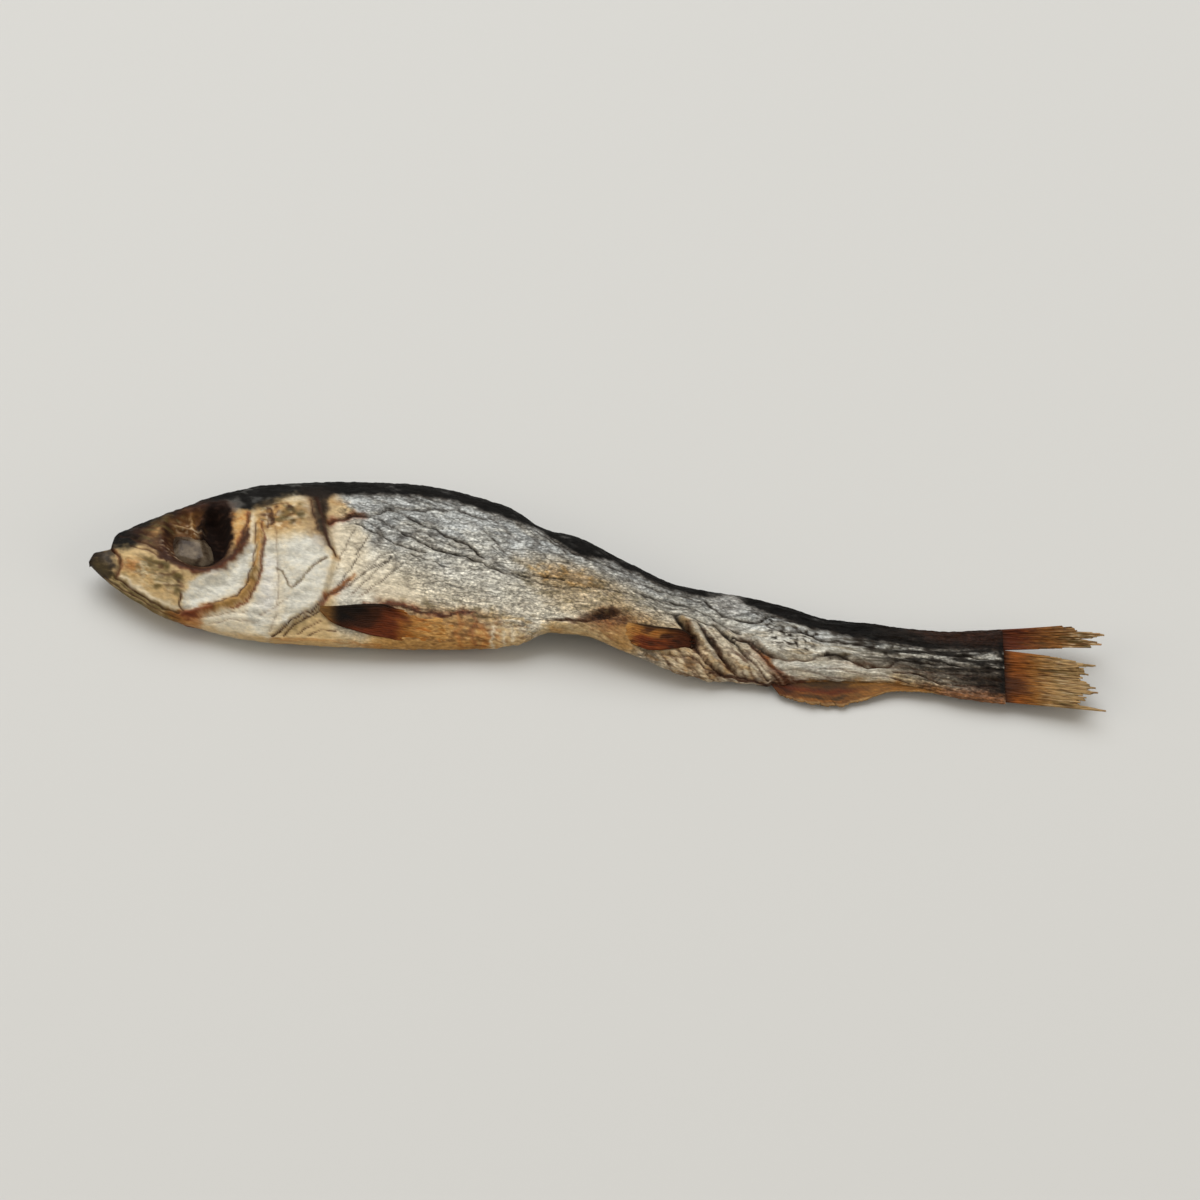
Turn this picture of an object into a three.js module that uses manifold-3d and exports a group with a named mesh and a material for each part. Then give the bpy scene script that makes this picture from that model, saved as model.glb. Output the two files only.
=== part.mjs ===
// Dried herring: one whole small fish, salted and dried hard, lying on its right flank.
//
// Millimetres, +Z up. The fish lies along X with the tip of its lower jaw towards -X and
// its tail fin towards +X; the back points to +Y, the belly to -Y, the left flank faces up.
// The origin is on the table, under the middle of the fish's outline.
//
// The body is a loft of closed sections. Its outline and the forms of its skin are laid
// out as they look from the belly side, VIEW_ELEVATION above the table, so each of them is
// a short line in "seen" coordinates: x along the fish and h up its flank.
import * as THREE from "three";
import { mergeVertices } from "three/addons/utils/BufferGeometryUtils.js";
import Module from "manifold-3d";

const wasm = await Module();
wasm.setup();

const rad = THREE.MathUtils.degToRad;
const clamp = THREE.MathUtils.clamp;
const smoothstep = THREE.MathUtils.smoothstep;

// ---- driving dimensions ----------------------------------------------------------------

const BODY_LENGTH = 118.3; // tip of the lower jaw to the root of the tail fin
const VIEW_ELEVATION = rad(50); // how far above the table the seen outline looks from
const SEEN_SCALE = 0.866; // seen height of one millimetre up the flank
const SECTION_SLANT = rad(8.5); // sections stand this far off square to the fish, about Z
const FLANK_LEAN = rad(6); // the middle plane rises this much towards the back
const FLANK_FLATNESS = 0.85; // 1 is an elliptical section, less is flatter on the flanks
const GROUND_PRESS = 0.35; // how much the flank has flattened where it lay
const SOCKET_DEPTH = 1.9;
const EYEBALL_HEIGHT = 1.1;
const COVER_RISE = 0.55; // how far the gill cover stands off the shoulder
const FIN_RISE = 0.45; // how far the paired fins stand off the flank
const BLADE_THICKNESS = 0.5; // anal fin
const RAY_THICKNESS = 0.65; // rays of the tail fin at their root
const MEMBRANE_THICKNESS = 0.35; // skin between the rays

// Seen outline, as [x, h]. The jaws meet in a notch at x = 2.9.
const BACK_LINE = [
  [0, -0.3], [0.6, 1.0], [2.7, 1.7], [3.2, 3.7], [4.4, 4.7], [10, 8.0], [17, 11.9],
  [24, 14.2], [34, 15.9], [43, 16.6], [54, 15.0], [59.5, 12.1], [63, 11.6], [70, 8.6],
  [77, 6.0], [86, 5.3], [96, 3.5], [108, 3.6], [118.3, 5.2],
];
const BELLY_LINE = [
  [0, -0.8], [2, -2.6], [6, -5.3], [12, -7.8], [22, -9.1], [32, -8.6], [50, -6.7],
  [56, -5.2], [60, -2.9], [64, -2.7], [70, -4.6], [80, -7.3], [88, -7.0], [96, -5.6],
  [105, -4.9], [113, -5.7], [118.3, -5.8],
];
// Half thickness across the flanks, and how far the lowest skin is off the table.
const HALF_WIDTH = [
  [0, 0.7], [3, 1.7], [6, 2.6], [10, 3.4], [16, 4.1], [28, 4.9], [36, 4.9], [48, 4.5],
  [60, 3.6], [72, 3.0], [86, 2.6], [100, 2.0], [112, 1.4], [118.3, 0.8],
];
const LIFT = [
  [0, 3.2], [8, 1.3], [18, 0], [48, 0], [56, 1.0], [64, 2.6], [72, 1.6], [84, 0], [98, 0],
  [108, 0.7], [118.3, 1.7],
];
// How much of the thickness is lost between the back and the keel of the belly.
const KEEL_TAPER = [[0, 0.1], [12, 0.3], [30, 0.5], [70, 0.5], [95, 0.3], [118.3, 0.1]];

// Loft steps as [from, to, steps], close together at the jaws and on the head.
const STRETCHES = [[0, 2.6, 4], [2.6, 3.4, 3], [3.4, 33, 38], [33, BODY_LENGTH, 66]];
const SECTION_POINTS = 44;
const EDGE_SPREAD = 0.2; // moves section points from the tight edges on to the flanks

// ---- forms of the skin, in seen coordinates --------------------------------------------

const SOCKET = { x: 14.1, h: 5.4, rx: 4.6, rh: 4.9 };
const EYEBALL = { x: 13.7, h: 4.3, rx: 2.9, rh: 2.3 };
const TAIL_BULGE = { x: 91, h: -0.5, rx: 4.2, rh: 2.5 };
const COVER_FRONT = 21.5;
// Rear edge of the gill cover, as [h, x].
const COVER_EDGE = [
  [-9, 23.4], [-6.8, 25.5], [-4, 29], [-2.8, 30.3], [1, 31.3], [4.6, 32], [9, 30.8],
  [12, 30.1], [16, 29.6],
];
// Paired fins lie flat on the flank: the line along the middle, and half heights as [x, h].
const PECTORAL_FIN = {
  middle: [[30, -3.6], [38, -4.6], [50, -4.8]],
  spread: [[30, 0.3], [34, 1.7], [40, 2.4], [46, 2.0], [50, 0.2]],
};
const PELVIC_FIN = {
  middle: [[68, -1.6], [74, -2.1], [79, -2.4]],
  spread: [[68, 1.0], [72, 1.7], [76, 1.5], [79, 0.3]],
};
// Ridges (positive) and creases (negative): height, half width and the line they follow.
const FOLDS = {
  gape: [-0.6, 0.6, [[2.9, 2], [4.1, 0.8], [3.8, -2.1], [8, -4.7], [12, -6.3]]],
  maxilla: [0.4, 1.6, [[4.8, 1], [8, -1.6], [12, -3.8]]],
  browRidge: [0.35, 1.0, [[5, 3.4], [9, 6.8], [13, 9.6]]],
  socketRim: [0.3, 0.9, [[10, 0.6], [14, -0.4], [17.5, 0.6], [19.6, 3.5], [20.3, 7], [19.6, 9.6]]],
  preopercle: [0.55, 0.8, [[22.2, 8], [22.4, 4], [21.2, -1], [20, -3.4], [15.5, -5.3], [13, -6.6]]],
  cheekHollow: [-0.35, 1.3, [[20, 2.5], [17.5, -1.5], [14, -3.5]]],
  coverHollow: [-0.3, 1.2, [[24.4, 3], [24.2, -2], [22.5, -6]]],
  coverCrease: [-0.35, 0.7, [[31, 4], [28.5, 1.3], [26.5, -1], [25.3, 1.6]]],
  napeSpike: [-0.35, 0.7, [[29.6, 13], [30.6, 9], [32, 4.8]]],
  shoulderCut: [-0.45, 0.7, [[31.4, 9.4], [35, 10.8], [38.5, 12.1], [41.5, 12.8]]],
  throatCut: [-0.4, 0.7, [[30.4, -2.6], [32, -0.6], [34.2, 1.6]]],
  flankCreaseA: [-0.25, 0.8, [[38, 11.6], [42, 11.2], [46, 9.8], [50, 8.3]]],
  flankCreaseB: [-0.25, 0.8, [[35, 9.6], [39, 8.1], [44, 6.3]]],
  flankCreaseC: [-0.3, 0.9, [[42, 9], [48, 6.8], [54, 5.2], [62, 5.2], [70, 3.6]]],
  backCrease: [-0.2, 0.8, [[43, 12.7], [47, 13.5], [53, 12.7]]],
  emptyBelly: [-0.35, 3.0, [[42, 1.5], [52, 0.5], [60, 1.5]]],
  bellyRoll: [0.4, 1.2, [[56, -3.6], [61, -1.8], [68, -2.6]]],
  bellyCrease: [-0.45, 0.7, [[59.5, -1.2], [64, -0.7], [68, 0.5]]],
  foldA: [-0.5, 0.9, [[76.5, 1], [79, -2], [82, -5], [86, -6]]],
  foldB: [0.45, 0.9, [[78.5, 1], [81.5, -2.6], [85, -4.6]]],
  foldC: [-0.4, 0.8, [[83, -0.8], [86, -1.6], [89.5, -5]]],
  tailCreaseA: [-0.35, 0.8, [[86, -1], [90, -3.2], [95, -1.9], [100, -2.4], [105, -1.1], [117, -0.9]]],
  tailCreaseB: [-0.3, 0.7, [[104, -3.1], [110, -3.7], [116, -3.6]]],
  tailCreaseC: [-0.25, 0.7, [[80, 4], [86, 1.9], [95, 0.9]]],
};

// ---- fins ------------------------------------------------------------------------------

// Anal fin, as [x, root h, edge h].
const ANAL_FIN = [
  [86.5, -5.2, -6.6], [89.5, -5.4, -8.2], [92, -5.2, -8.8], [95, -4.8, -9.1], [98, -4.5, -8.5],
  [101, -4.3, -7.2], [104, -4.1, -5.8], [108, -4.1, -5.4], [112, -4.4, -5.4], [115, -4.6, -5.0],
];
const ANAL_FIN_DROP = 0.16; // fall of the blade for each millimetre outwards

// Tail fin: the heights of a lobe's outer rays at the root, the tips of its rays as
// [x, h], and where the skin between the rays ends.
const TAIL_ROOT = 115.5;
const TAIL_LOBES = [
  {
    roots: [4.3, 2.2],
    tips: [[126, 6.1], [128.9, 5.4], [131.1, 5.1], [130.2, 4.1], [125.8, 3.2]],
    skinEnd: 123.6,
  },
  {
    roots: [1.9, -5.1],
    tips: [
      [129.6, 1.3], [127.9, 0.6], [128.9, -0.1], [128.3, -0.9], [130.3, -1.9], [129.2, -2.7],
      [127.8, -3.5], [129.4, -4.2], [131, -5.0],
    ],
    skinEnd: 126.6,
  },
];
const TAIL_RISE = 0.06; // rise of the tail fin for each millimetre along it
const TAIL_WAVE = 0.25;

// ---- curves ----------------------------------------------------------------------------

// A smooth curve through [x, value] points that never overshoots them.
function curve(points) {
  const last = points.length - 1;
  const slopeOf = (i) => (points[i + 1][1] - points[i][1]) / (points[i + 1][0] - points[i][0]);
  const slopes = points.map((_, i) => {
    if (i === 0 || i === last || slopeOf(i - 1) * slopeOf(i) <= 0) return 0;
    return (2 * slopeOf(i - 1) * slopeOf(i)) / (slopeOf(i - 1) + slopeOf(i));
  });
  slopes[0] = slopeOf(0);
  slopes[last] = slopeOf(last - 1);
  return (x) => {
    let i = 0;
    while (i < last - 1 && x > points[i + 1][0]) i++;
    const run = points[i + 1][0] - points[i][0];
    const t = clamp((x - points[i][0]) / run, 0, 1);
    const ease = t * t * (3 - 2 * t);
    return (
      points[i][1] * (1 - ease) +
      points[i + 1][1] * ease +
      run * t * (1 - t) * (slopes[i] * (1 - t) - slopes[i + 1] * t)
    );
  };
}

// Distance from (x, h) to a line through points.
function distanceTo(line, x, h) {
  let nearest = Infinity;
  for (let i = 0; i + 1 < line.length; i++) {
    const [ax, ah] = line[i];
    const dx = line[i + 1][0] - ax;
    const dh = line[i + 1][1] - ah;
    const t = clamp(((x - ax) * dx + (h - ah) * dh) / (dx * dx + dh * dh), 0, 1);
    nearest = Math.min(nearest, Math.hypot(x - ax - t * dx, h - ah - t * dh));
  }
  return nearest;
}

const backAt = curve(BACK_LINE);
const bellyAt = curve(BELLY_LINE);
const halfWidthAt = curve(HALF_WIDTH);
const liftAt = curve(LIFT);
const keelTaperAt = curve(KEEL_TAPER);
const coverEdgeAt = curve(COVER_EDGE);

// ---- relief of the flanks --------------------------------------------------------------

const inOval = (oval, x, h) => Math.hypot((x - oval.x) / oval.rx, (h - oval.h) / oval.rh);

function eyeRelief(x, h) {
  const socket = -SOCKET_DEPTH * (1 - smoothstep(inOval(SOCKET, x, h), 0.6, 1.05));
  const ball = Math.sqrt(Math.max(0, 1 - inOval(EYEBALL, x, h) ** 2));
  return socket + EYEBALL_HEIGHT * ball;
}

function coverRelief(x, h) {
  const front = smoothstep(x, COVER_FRONT, COVER_FRONT + 6);
  const behind = smoothstep(x, coverEdgeAt(h) - 0.2, coverEdgeAt(h) + 0.9);
  const nape = smoothstep(h, 11, 14);
  return COVER_RISE * front * (1 - behind) * (1 - nape);
}

function finRelief(fin) {
  const middleAt = curve(fin.middle);
  const spreadAt = curve(fin.spread);
  const start = fin.spread[0][0];
  const end = fin.spread.at(-1)[0];
  return (x, h) => {
    const across = Math.abs(h - middleAt(x)) - spreadAt(x);
    const along = smoothstep(x, start - 0.6, start + 0.6) * (1 - smoothstep(x, end - 1, end));
    return FIN_RISE * along * (1 - smoothstep(across, -0.5, 0.4));
  };
}

const pectoralRelief = finRelief(PECTORAL_FIN);
const pelvicRelief = finRelief(PELVIC_FIN);

function foldRelief(x, h) {
  let sum = 0;
  for (const [height, width, line] of Object.values(FOLDS)) {
    sum += height * Math.exp(-((distanceTo(line, x, h) / width) ** 2));
  }
  return sum;
}

function relief(x, h) {
  const bulge = 0.4 * (1 - smoothstep(inOval(TAIL_BULGE, x, h), 0.5, 1.1));
  const fins = pectoralRelief(x, h) + pelvicRelief(x, h);
  return eyeRelief(x, h) + coverRelief(x, h) + fins + foldRelief(x, h) + bulge;
}

// ---- body ------------------------------------------------------------------------------

const SEEN_Y = Math.sin(VIEW_ELEVATION) / Math.cos(SECTION_SLANT);
const SEEN_Z = Math.cos(VIEW_ELEVATION);
const LEAN_SEEN = SEEN_Y * Math.cos(FLANK_LEAN) + SEEN_Z * Math.sin(FLANK_LEAN);
const WIDTH_SEEN = SEEN_Z * Math.cos(FLANK_LEAN) - SEEN_Y * Math.sin(FLANK_LEAN);
const RISE_PER_HEIGHT = (SEEN_SCALE * Math.sin(FLANK_LEAN)) / LEAN_SEEN;

const seenHeight = (y, z) => (SEEN_Y * y + SEEN_Z * z) / SEEN_SCALE;
const acrossFor = (h, z) => (SEEN_SCALE * h - SEEN_Z * z) / SEEN_Y;
const slanted = (x, y, z) => new THREE.Vector3(x - y * Math.tan(SECTION_SLANT), y, z);

// Half depth of the section at x, and the place of its middle.
function sectionAt(x) {
  const width = halfWidthAt(x);
  const taper = keelTaperAt(x);
  const back = SEEN_SCALE * backAt(x);
  const height = back - SEEN_SCALE * bellyAt(x);
  const backReach = (depth) => Math.hypot(LEAN_SEEN * depth, WIDTH_SEEN * width);
  const bellyReach = (depth) =>
    Math.hypot(LEAN_SEEN * depth, WIDTH_SEEN * width * (1 - taper));
  let depth = height / 2 / LEAN_SEEN;
  for (let pass = 0; pass < 6; pass++) {
    depth *= height / (backReach(depth) + bellyReach(depth));
  }
  const sag = Math.hypot(
    depth * Math.sin(FLANK_LEAN),
    width * (1 - 0.4 * taper) * Math.cos(FLANK_LEAN),
  );
  const z = liftAt(x) - GROUND_PRESS + sag;
  const y = acrossFor((back - backReach(depth)) / SEEN_SCALE, z);
  return { x, y, z, depth, width, taper };
}

// Skin point at an angle round the section: 0 is the back, 90 degrees the left flank.
function skinPoint(section, angle) {
  const up = section.depth * Math.cos(angle);
  const narrowing = 1 - (section.taper * (1 - Math.cos(angle))) / 2;
  const fullness = Math.abs(Math.sin(angle)) ** FLANK_FLATNESS;
  const out = section.width * narrowing * fullness;
  const cos = Math.cos(FLANK_LEAN);
  const sin = Math.sin(FLANK_LEAN);
  const h = seenHeight(
    section.y + up * cos - out * sin,
    section.z + up * sin + out * cos,
  );
  const carved = relief(section.x, h) * smoothstep(Math.abs(Math.sin(angle)), 0.1, 0.5);
  const side = Math.sin(angle) < 0 ? -1 : 1;
  const reach = side * Math.max(out + carved, 0.3 * out);
  const y = section.y + up * cos - reach * sin;
  const z = section.z + up * sin + reach * cos;
  return slanted(section.x, y, Math.max(z, 0));
}

function stations() {
  const xs = [0];
  for (const [from, to, steps] of STRETCHES) {
    for (let i = 1; i <= steps; i++) xs.push(from + ((to - from) * i) / steps);
  }
  return xs;
}

function bodyRings() {
  return stations().map((x) => {
    const section = sectionAt(x);
    return Array.from({ length: SECTION_POINTS }, (_, i) => {
      const turn = (2 * Math.PI * i) / SECTION_POINTS;
      return skinPoint(section, turn + EDGE_SPREAD * Math.sin(2 * turn));
    });
  });
}

// ---- solids ----------------------------------------------------------------------------

// Closed loft through rings of points; the two halves of a ring are split alike.
function loft(rings) {
  const count = rings[0].length;
  const middle = (ring) =>
    ring.reduce((sum, p) => sum.add(p), new THREE.Vector3()).divideScalar(count);
  const positions = [...rings.flat(), middle(rings[0]), middle(rings.at(-1))];
  const first = rings.length * count;
  const last = first + 1;
  const end = (rings.length - 1) * count;
  const index = [];
  for (let j = 0; j < count; j++) {
    const next = (j + 1) % count;
    index.push(first, next, j, last, end + j, end + next);
    for (let i = 0; i + 1 < rings.length; i++) {
      const a = i * count + j;
      const b = i * count + next;
      const c = a + count;
      const d = b + count;
      if (j < count / 2) index.push(a, b, c, b, d, c);
      else index.push(a, b, d, a, d, c);
    }
  }
  const geometry = new THREE.BufferGeometry().setFromPoints(positions);
  geometry.setIndex(index);
  return geometry;
}

function toManifold(geometry) {
  const merged = mergeVertices(geometry, 1e-4);
  return new wasm.Manifold(
    new wasm.Mesh({
      numProp: 3,
      vertProperties: new Float32Array(merged.attributes.position.array),
      triVerts: new Uint32Array(merged.index.array),
    }),
  );
}

function toGeometry(manifold) {
  const { vertProperties, triVerts } = manifold.getMesh();
  const geometry = new THREE.BufferGeometry();
  geometry.setAttribute("position", new THREE.BufferAttribute(vertProperties, 3));
  geometry.setIndex(new THREE.BufferAttribute(triVerts, 1));
  return geometry;
}

// A thin closed blade: pointAt(along, row, side) gives its two faces, split alike.
function blade(steps, rows, pointAt) {
  const positions = [];
  for (const side of [1, -1]) {
    for (let i = 0; i <= steps; i++) {
      for (let j = 0; j <= rows; j++) positions.push(pointAt(i, j, side));
    }
  }
  const top = (i, j) => i * (rows + 1) + j;
  const under = (i, j) => top(i, j) + (steps + 1) * (rows + 1);
  const index = [];
  for (let i = 0; i < steps; i++) {
    for (let j = 0; j < rows; j++) {
      index.push(top(i, j), top(i, j + 1), top(i + 1, j));
      index.push(top(i, j + 1), top(i + 1, j + 1), top(i + 1, j));
      index.push(under(i, j), under(i + 1, j), under(i, j + 1));
      index.push(under(i, j + 1), under(i + 1, j), under(i + 1, j + 1));
    }
  }
  const wall = (i, j, nextI, nextJ) => {
    index.push(top(i, j), under(i, j), top(nextI, nextJ));
    index.push(under(i, j), under(nextI, nextJ), top(nextI, nextJ));
  };
  for (let j = 0; j < rows; j++) {
    wall(0, j, 0, j + 1);
    wall(steps, j + 1, steps, j);
  }
  for (let i = 0; i < steps; i++) {
    wall(i, rows, i + 1, rows);
    wall(i + 1, 0, i, 0);
  }
  const geometry = new THREE.BufferGeometry().setFromPoints(positions);
  geometry.setIndex(index);
  return geometry;
}

function analFin() {
  const rows = 3;
  return blade(ANAL_FIN.length - 1, rows, (i, j, side) => {
    const [x, root, edge] = ANAL_FIN[i];
    const h = THREE.MathUtils.lerp(root, edge, j / rows);
    const { z, depth } = sectionAt(x);
    const keel = z - 0.8 * depth * Math.sin(FLANK_LEAN);
    const middle = keel + ANAL_FIN_DROP * (h - root) + 0.15 * Math.sin(1.9 * x);
    return slanted(x, acrossFor(h, middle), middle + (side * BLADE_THICKNESS) / 2);
  });
}

// A lobe of the tail fin: even rows are rays, odd rows the skin between two of them.
function tailLobe({ roots, tips, skinEnd }) {
  const steps = 5;
  const rows = 2 * (tips.length - 1);
  const root = sectionAt(BODY_LENGTH);
  const rootMiddle = seenHeight(root.y, root.z);
  return blade(steps, rows, (i, j, side) => {
    const t = i / steps;
    const ray = j % 2 === 0;
    const before = tips[Math.floor(j / 2)];
    const after = tips[Math.ceil(j / 2)];
    const endX = ray ? before[0] : skinEnd + 0.9 * Math.sin(4 * j);
    const x = THREE.MathUtils.lerp(TAIL_ROOT, endX, t);
    const rootH = THREE.MathUtils.lerp(roots[0], roots[1], j / rows);
    const h = THREE.MathUtils.lerp(rootH, (before[1] + after[1]) / 2, t ** 1.2);
    const wave = TAIL_WAVE * Math.sin(1.3 * h) + 0.12 * Math.sin(5 * t + 1.7 * j);
    const lean = (h - rootMiddle) * RISE_PER_HEIGHT;
    const middle = root.z + lean + TAIL_RISE * (x - BODY_LENGTH) + wave;
    const thickness = ray ? RAY_THICKNESS * (1 - 0.35 * t) : MEMBRANE_THICKNESS;
    return slanted(x, acrossFor(h, middle), middle + (side * thickness) / 2);
  });
}

// ---- the fish --------------------------------------------------------------------------

const skin = new THREE.MeshStandardMaterial({
  color: 0x9b8f7c,
  roughness: 0.5,
  metalness: 0.15,
});

function makeHerring() {
  const body = toManifold(loft(bodyRings()));
  const fins = [analFin(), ...TAIL_LOBES.map(tailLobe)];
  const fish = fins.reduce((sum, fin) => sum.add(toManifold(fin)), body);
  const geometry = toGeometry(fish);
  geometry.computeBoundingBox();
  const centre = geometry.boundingBox.getCenter(new THREE.Vector3());
  geometry.translate(-centre.x, -centre.y, -geometry.boundingBox.min.z);
  const herring = new THREE.Mesh(geometry, skin);
  herring.name = "herring";
  return herring;
}

const object = new THREE.Group();
object.name = "dried_herring";
object.add(makeHerring());

export default object;
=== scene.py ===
"""Dried herring: one whole small fish, salted and dried hard, lying on its right flank.

The fish is laid out in millimetres in "seen" coordinates, as its outline and the marks on
its skin look from the belly side: x runs from the tip of the lower jaw to the tail fin and
h up the flank. Pieces are made from grids that are bent over the fish, then put into the
frame in metres.
"""

import math

import bmesh
import bpy
import numpy as np
from bpy.props import FloatProperty, FloatVectorProperty, IntProperty, PointerProperty
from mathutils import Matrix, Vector


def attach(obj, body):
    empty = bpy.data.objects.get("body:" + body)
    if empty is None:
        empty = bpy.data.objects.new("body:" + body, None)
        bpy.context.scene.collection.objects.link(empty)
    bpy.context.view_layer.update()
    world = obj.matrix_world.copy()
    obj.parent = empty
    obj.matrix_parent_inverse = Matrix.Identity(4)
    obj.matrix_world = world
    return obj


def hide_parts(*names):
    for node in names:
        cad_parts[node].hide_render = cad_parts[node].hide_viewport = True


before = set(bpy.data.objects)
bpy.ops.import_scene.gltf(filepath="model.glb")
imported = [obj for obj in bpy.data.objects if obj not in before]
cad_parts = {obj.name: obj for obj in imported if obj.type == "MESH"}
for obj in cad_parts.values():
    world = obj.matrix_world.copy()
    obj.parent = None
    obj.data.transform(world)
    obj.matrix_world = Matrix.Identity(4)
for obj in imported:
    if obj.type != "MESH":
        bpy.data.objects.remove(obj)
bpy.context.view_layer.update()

bl_info = {
    "name": "Dried Herring",
    "version": (1, 0, 0),
    "blender": (4, 5, 0),
    "location": "View3D > Sidebar > Herring",
    "description": "Builds the skin, eyes and fins of a dried herring over its packed model",
    "category": "Add Mesh",
}

# ---- size of the fish, in millimetres -----------------------------------------------------

MM = 0.001
ORIGIN = (66.3548, 1.0040)  # the middle of the fish's outline, as the frame has it
BODY_LENGTH = 118.3
VIEW_AZIMUTH = math.radians(8.5)
VIEW_ELEVATION = math.radians(50)
SEEN_SCALE = 0.866  # millimetres in the view to one of h
SECTION_SLANT = VIEW_AZIMUTH  # makes the sections look upright in the view
FLANK_LEAN = math.radians(6)  # how far the flanks slope up towards the back
FLANK_FLATNESS = 0.85
GROUND_PRESS = 0.35  # how much of the lower flank is pressed flat
SOCKET_DEPTH = 1.9
COVER_RISE = 0.55
HEAD_END = 31.5  # x behind the gill cover, where the wrinkled skin of the body starts
FLANK_ANGLES = (0.27, math.pi - 0.02)  # ends of the left flank, round the section

# Outlines as (x, h), and sizes along the fish as (x, size).
BACK_LINE = [
    (0, -0.3), (0.6, 1.0), (2.7, 1.7), (3.2, 3.7), (4.4, 4.7), (10, 8.0), (17, 11.9),
    (24, 14.2), (34, 15.9), (43, 16.6), (54, 15.0), (59.5, 12.1), (63, 11.6), (70, 8.6),
    (77, 6.0), (86, 5.35), (91, 4.6), (96, 3.6), (108, 3.6), (118.3, 5.1),
]
BELLY_LINE = [
    (0, -0.8), (2, -2.6), (6, -5.3), (12, -7.8), (22, -9.1), (32, -8.6), (50, -6.7),
    (56, -5.2), (60, -2.9), (64, -2.7), (70, -4.6), (80, -7.3), (88, -7.0), (96, -5.6),
    (105, -4.9), (113, -5.7), (118.3, -5.8),
]
HALF_WIDTH = [
    (0, 0.7), (3, 1.7), (6, 2.6), (10, 3.4), (16, 4.1), (28, 4.9), (36, 4.9), (48, 4.5),
    (60, 3.6), (72, 3.0), (86, 2.6), (100, 2.0), (112, 1.4), (118.3, 0.8),
]
LIFT = [  # how far the lower flank is off the floor
    (0, 3.2), (8, 1.3), (18, 0), (48, 0), (56, 1.0), (64, 2.6), (72, 1.6), (84, 0), (98, 0),
    (108, 0.7), (118.3, 1.7),
]
KEEL_TAPER = [  # share by which the fish is thinner at the belly
    (0, 0.1), (12, 0.3), (30, 0.5), (70, 0.5), (95, 0.3), (118.3, 0.1),
]
COVER_FRONT = 21.5  # x of the front edge of the gill cover
COVER_EDGE = [  # rear edge of the gill cover, as (h, x)
    (-9, 23.4), (-6.8, 25.5), (-4, 29), (-2.8, 30.3), (1, 31.3), (4.6, 32), (9, 30.8),
    (12, 30.1), (16, 29.6),
]
SOCKET = (14.1, 5.4, 4.6, 4.9)  # x, h and the two radii
EYE_GAP = (16.6, 6.2, 1.9, 3.9)  # the black gap behind the shrunken eyeball
GAP_DEPTH = 1.0
TAIL_BULGE = (91, -0.5, 4.2, 2.5)  # the raised oval ahead of the tail fin, in the same order
BULGE_RISE = 0.55
# Smooth stretches of skin: shoulder, belly, arch behind the ribs, and foot of the tail.
SHOULDER = [(31.4, 9.6), (35, 9.8), (37, 7.6), (39, 4), (42, 2), (44, -1), (40, -2.4), (30, -2)]
BELLY_SKIN = [(30, -5.6), (35, -6.4), (37, -2.4), (44, -2), (52, -1.6), (57, -3.4), (57, -9), (30, -10)]
ARCH_SKIN = [(58, -2.6), (61, -1.1), (66, -0.4), (70, -0.4), (71, -5), (58, -5)]
TAIL_SKIN = [(73, -9), (75, 2), (86, 1.4), (96, 3), (106, 0), (106, -9)]
SMOOTH_SKIN = [(0.75, SHOULDER), (0.80, BELLY_SKIN), (0.65, ARCH_SKIN), (0.50, TAIL_SKIN)]
PLEATS = [(50, -1.4), (57, -1.6), (59, -3.4), (56, -7), (50, -8)]  # upright pleats of the belly
TWIST = [  # the skin that is twisted into diagonal folds
    (72, -4.6), (75, -3.4), (75.4, 0.6), (79, 1.2), (84, 0.2), (88, -2), (91, -4.4), (92, -6.4),
    (88, -8), (80, -8.6), (74, -7),
]
FOLD_START = 80  # x that the folds are measured from
FOLD_RUN, FOLD_DROP = 0.62, 0.78  # the direction in which they run down and back
# painted light is laid inside this outline, over the edge's own pale colour
LIP = [  # bright edge over the anal fin
    (89, -3.2), (96, -2.6), (104, -2.8), (104, -4.6), (97, -5), (90, -5),
]
BEHIND_EYE = [(18.8, 9.6), (18.8, 4.8), (20, 3.8), (21.2, 6), (21.4, 9.8)]

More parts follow.
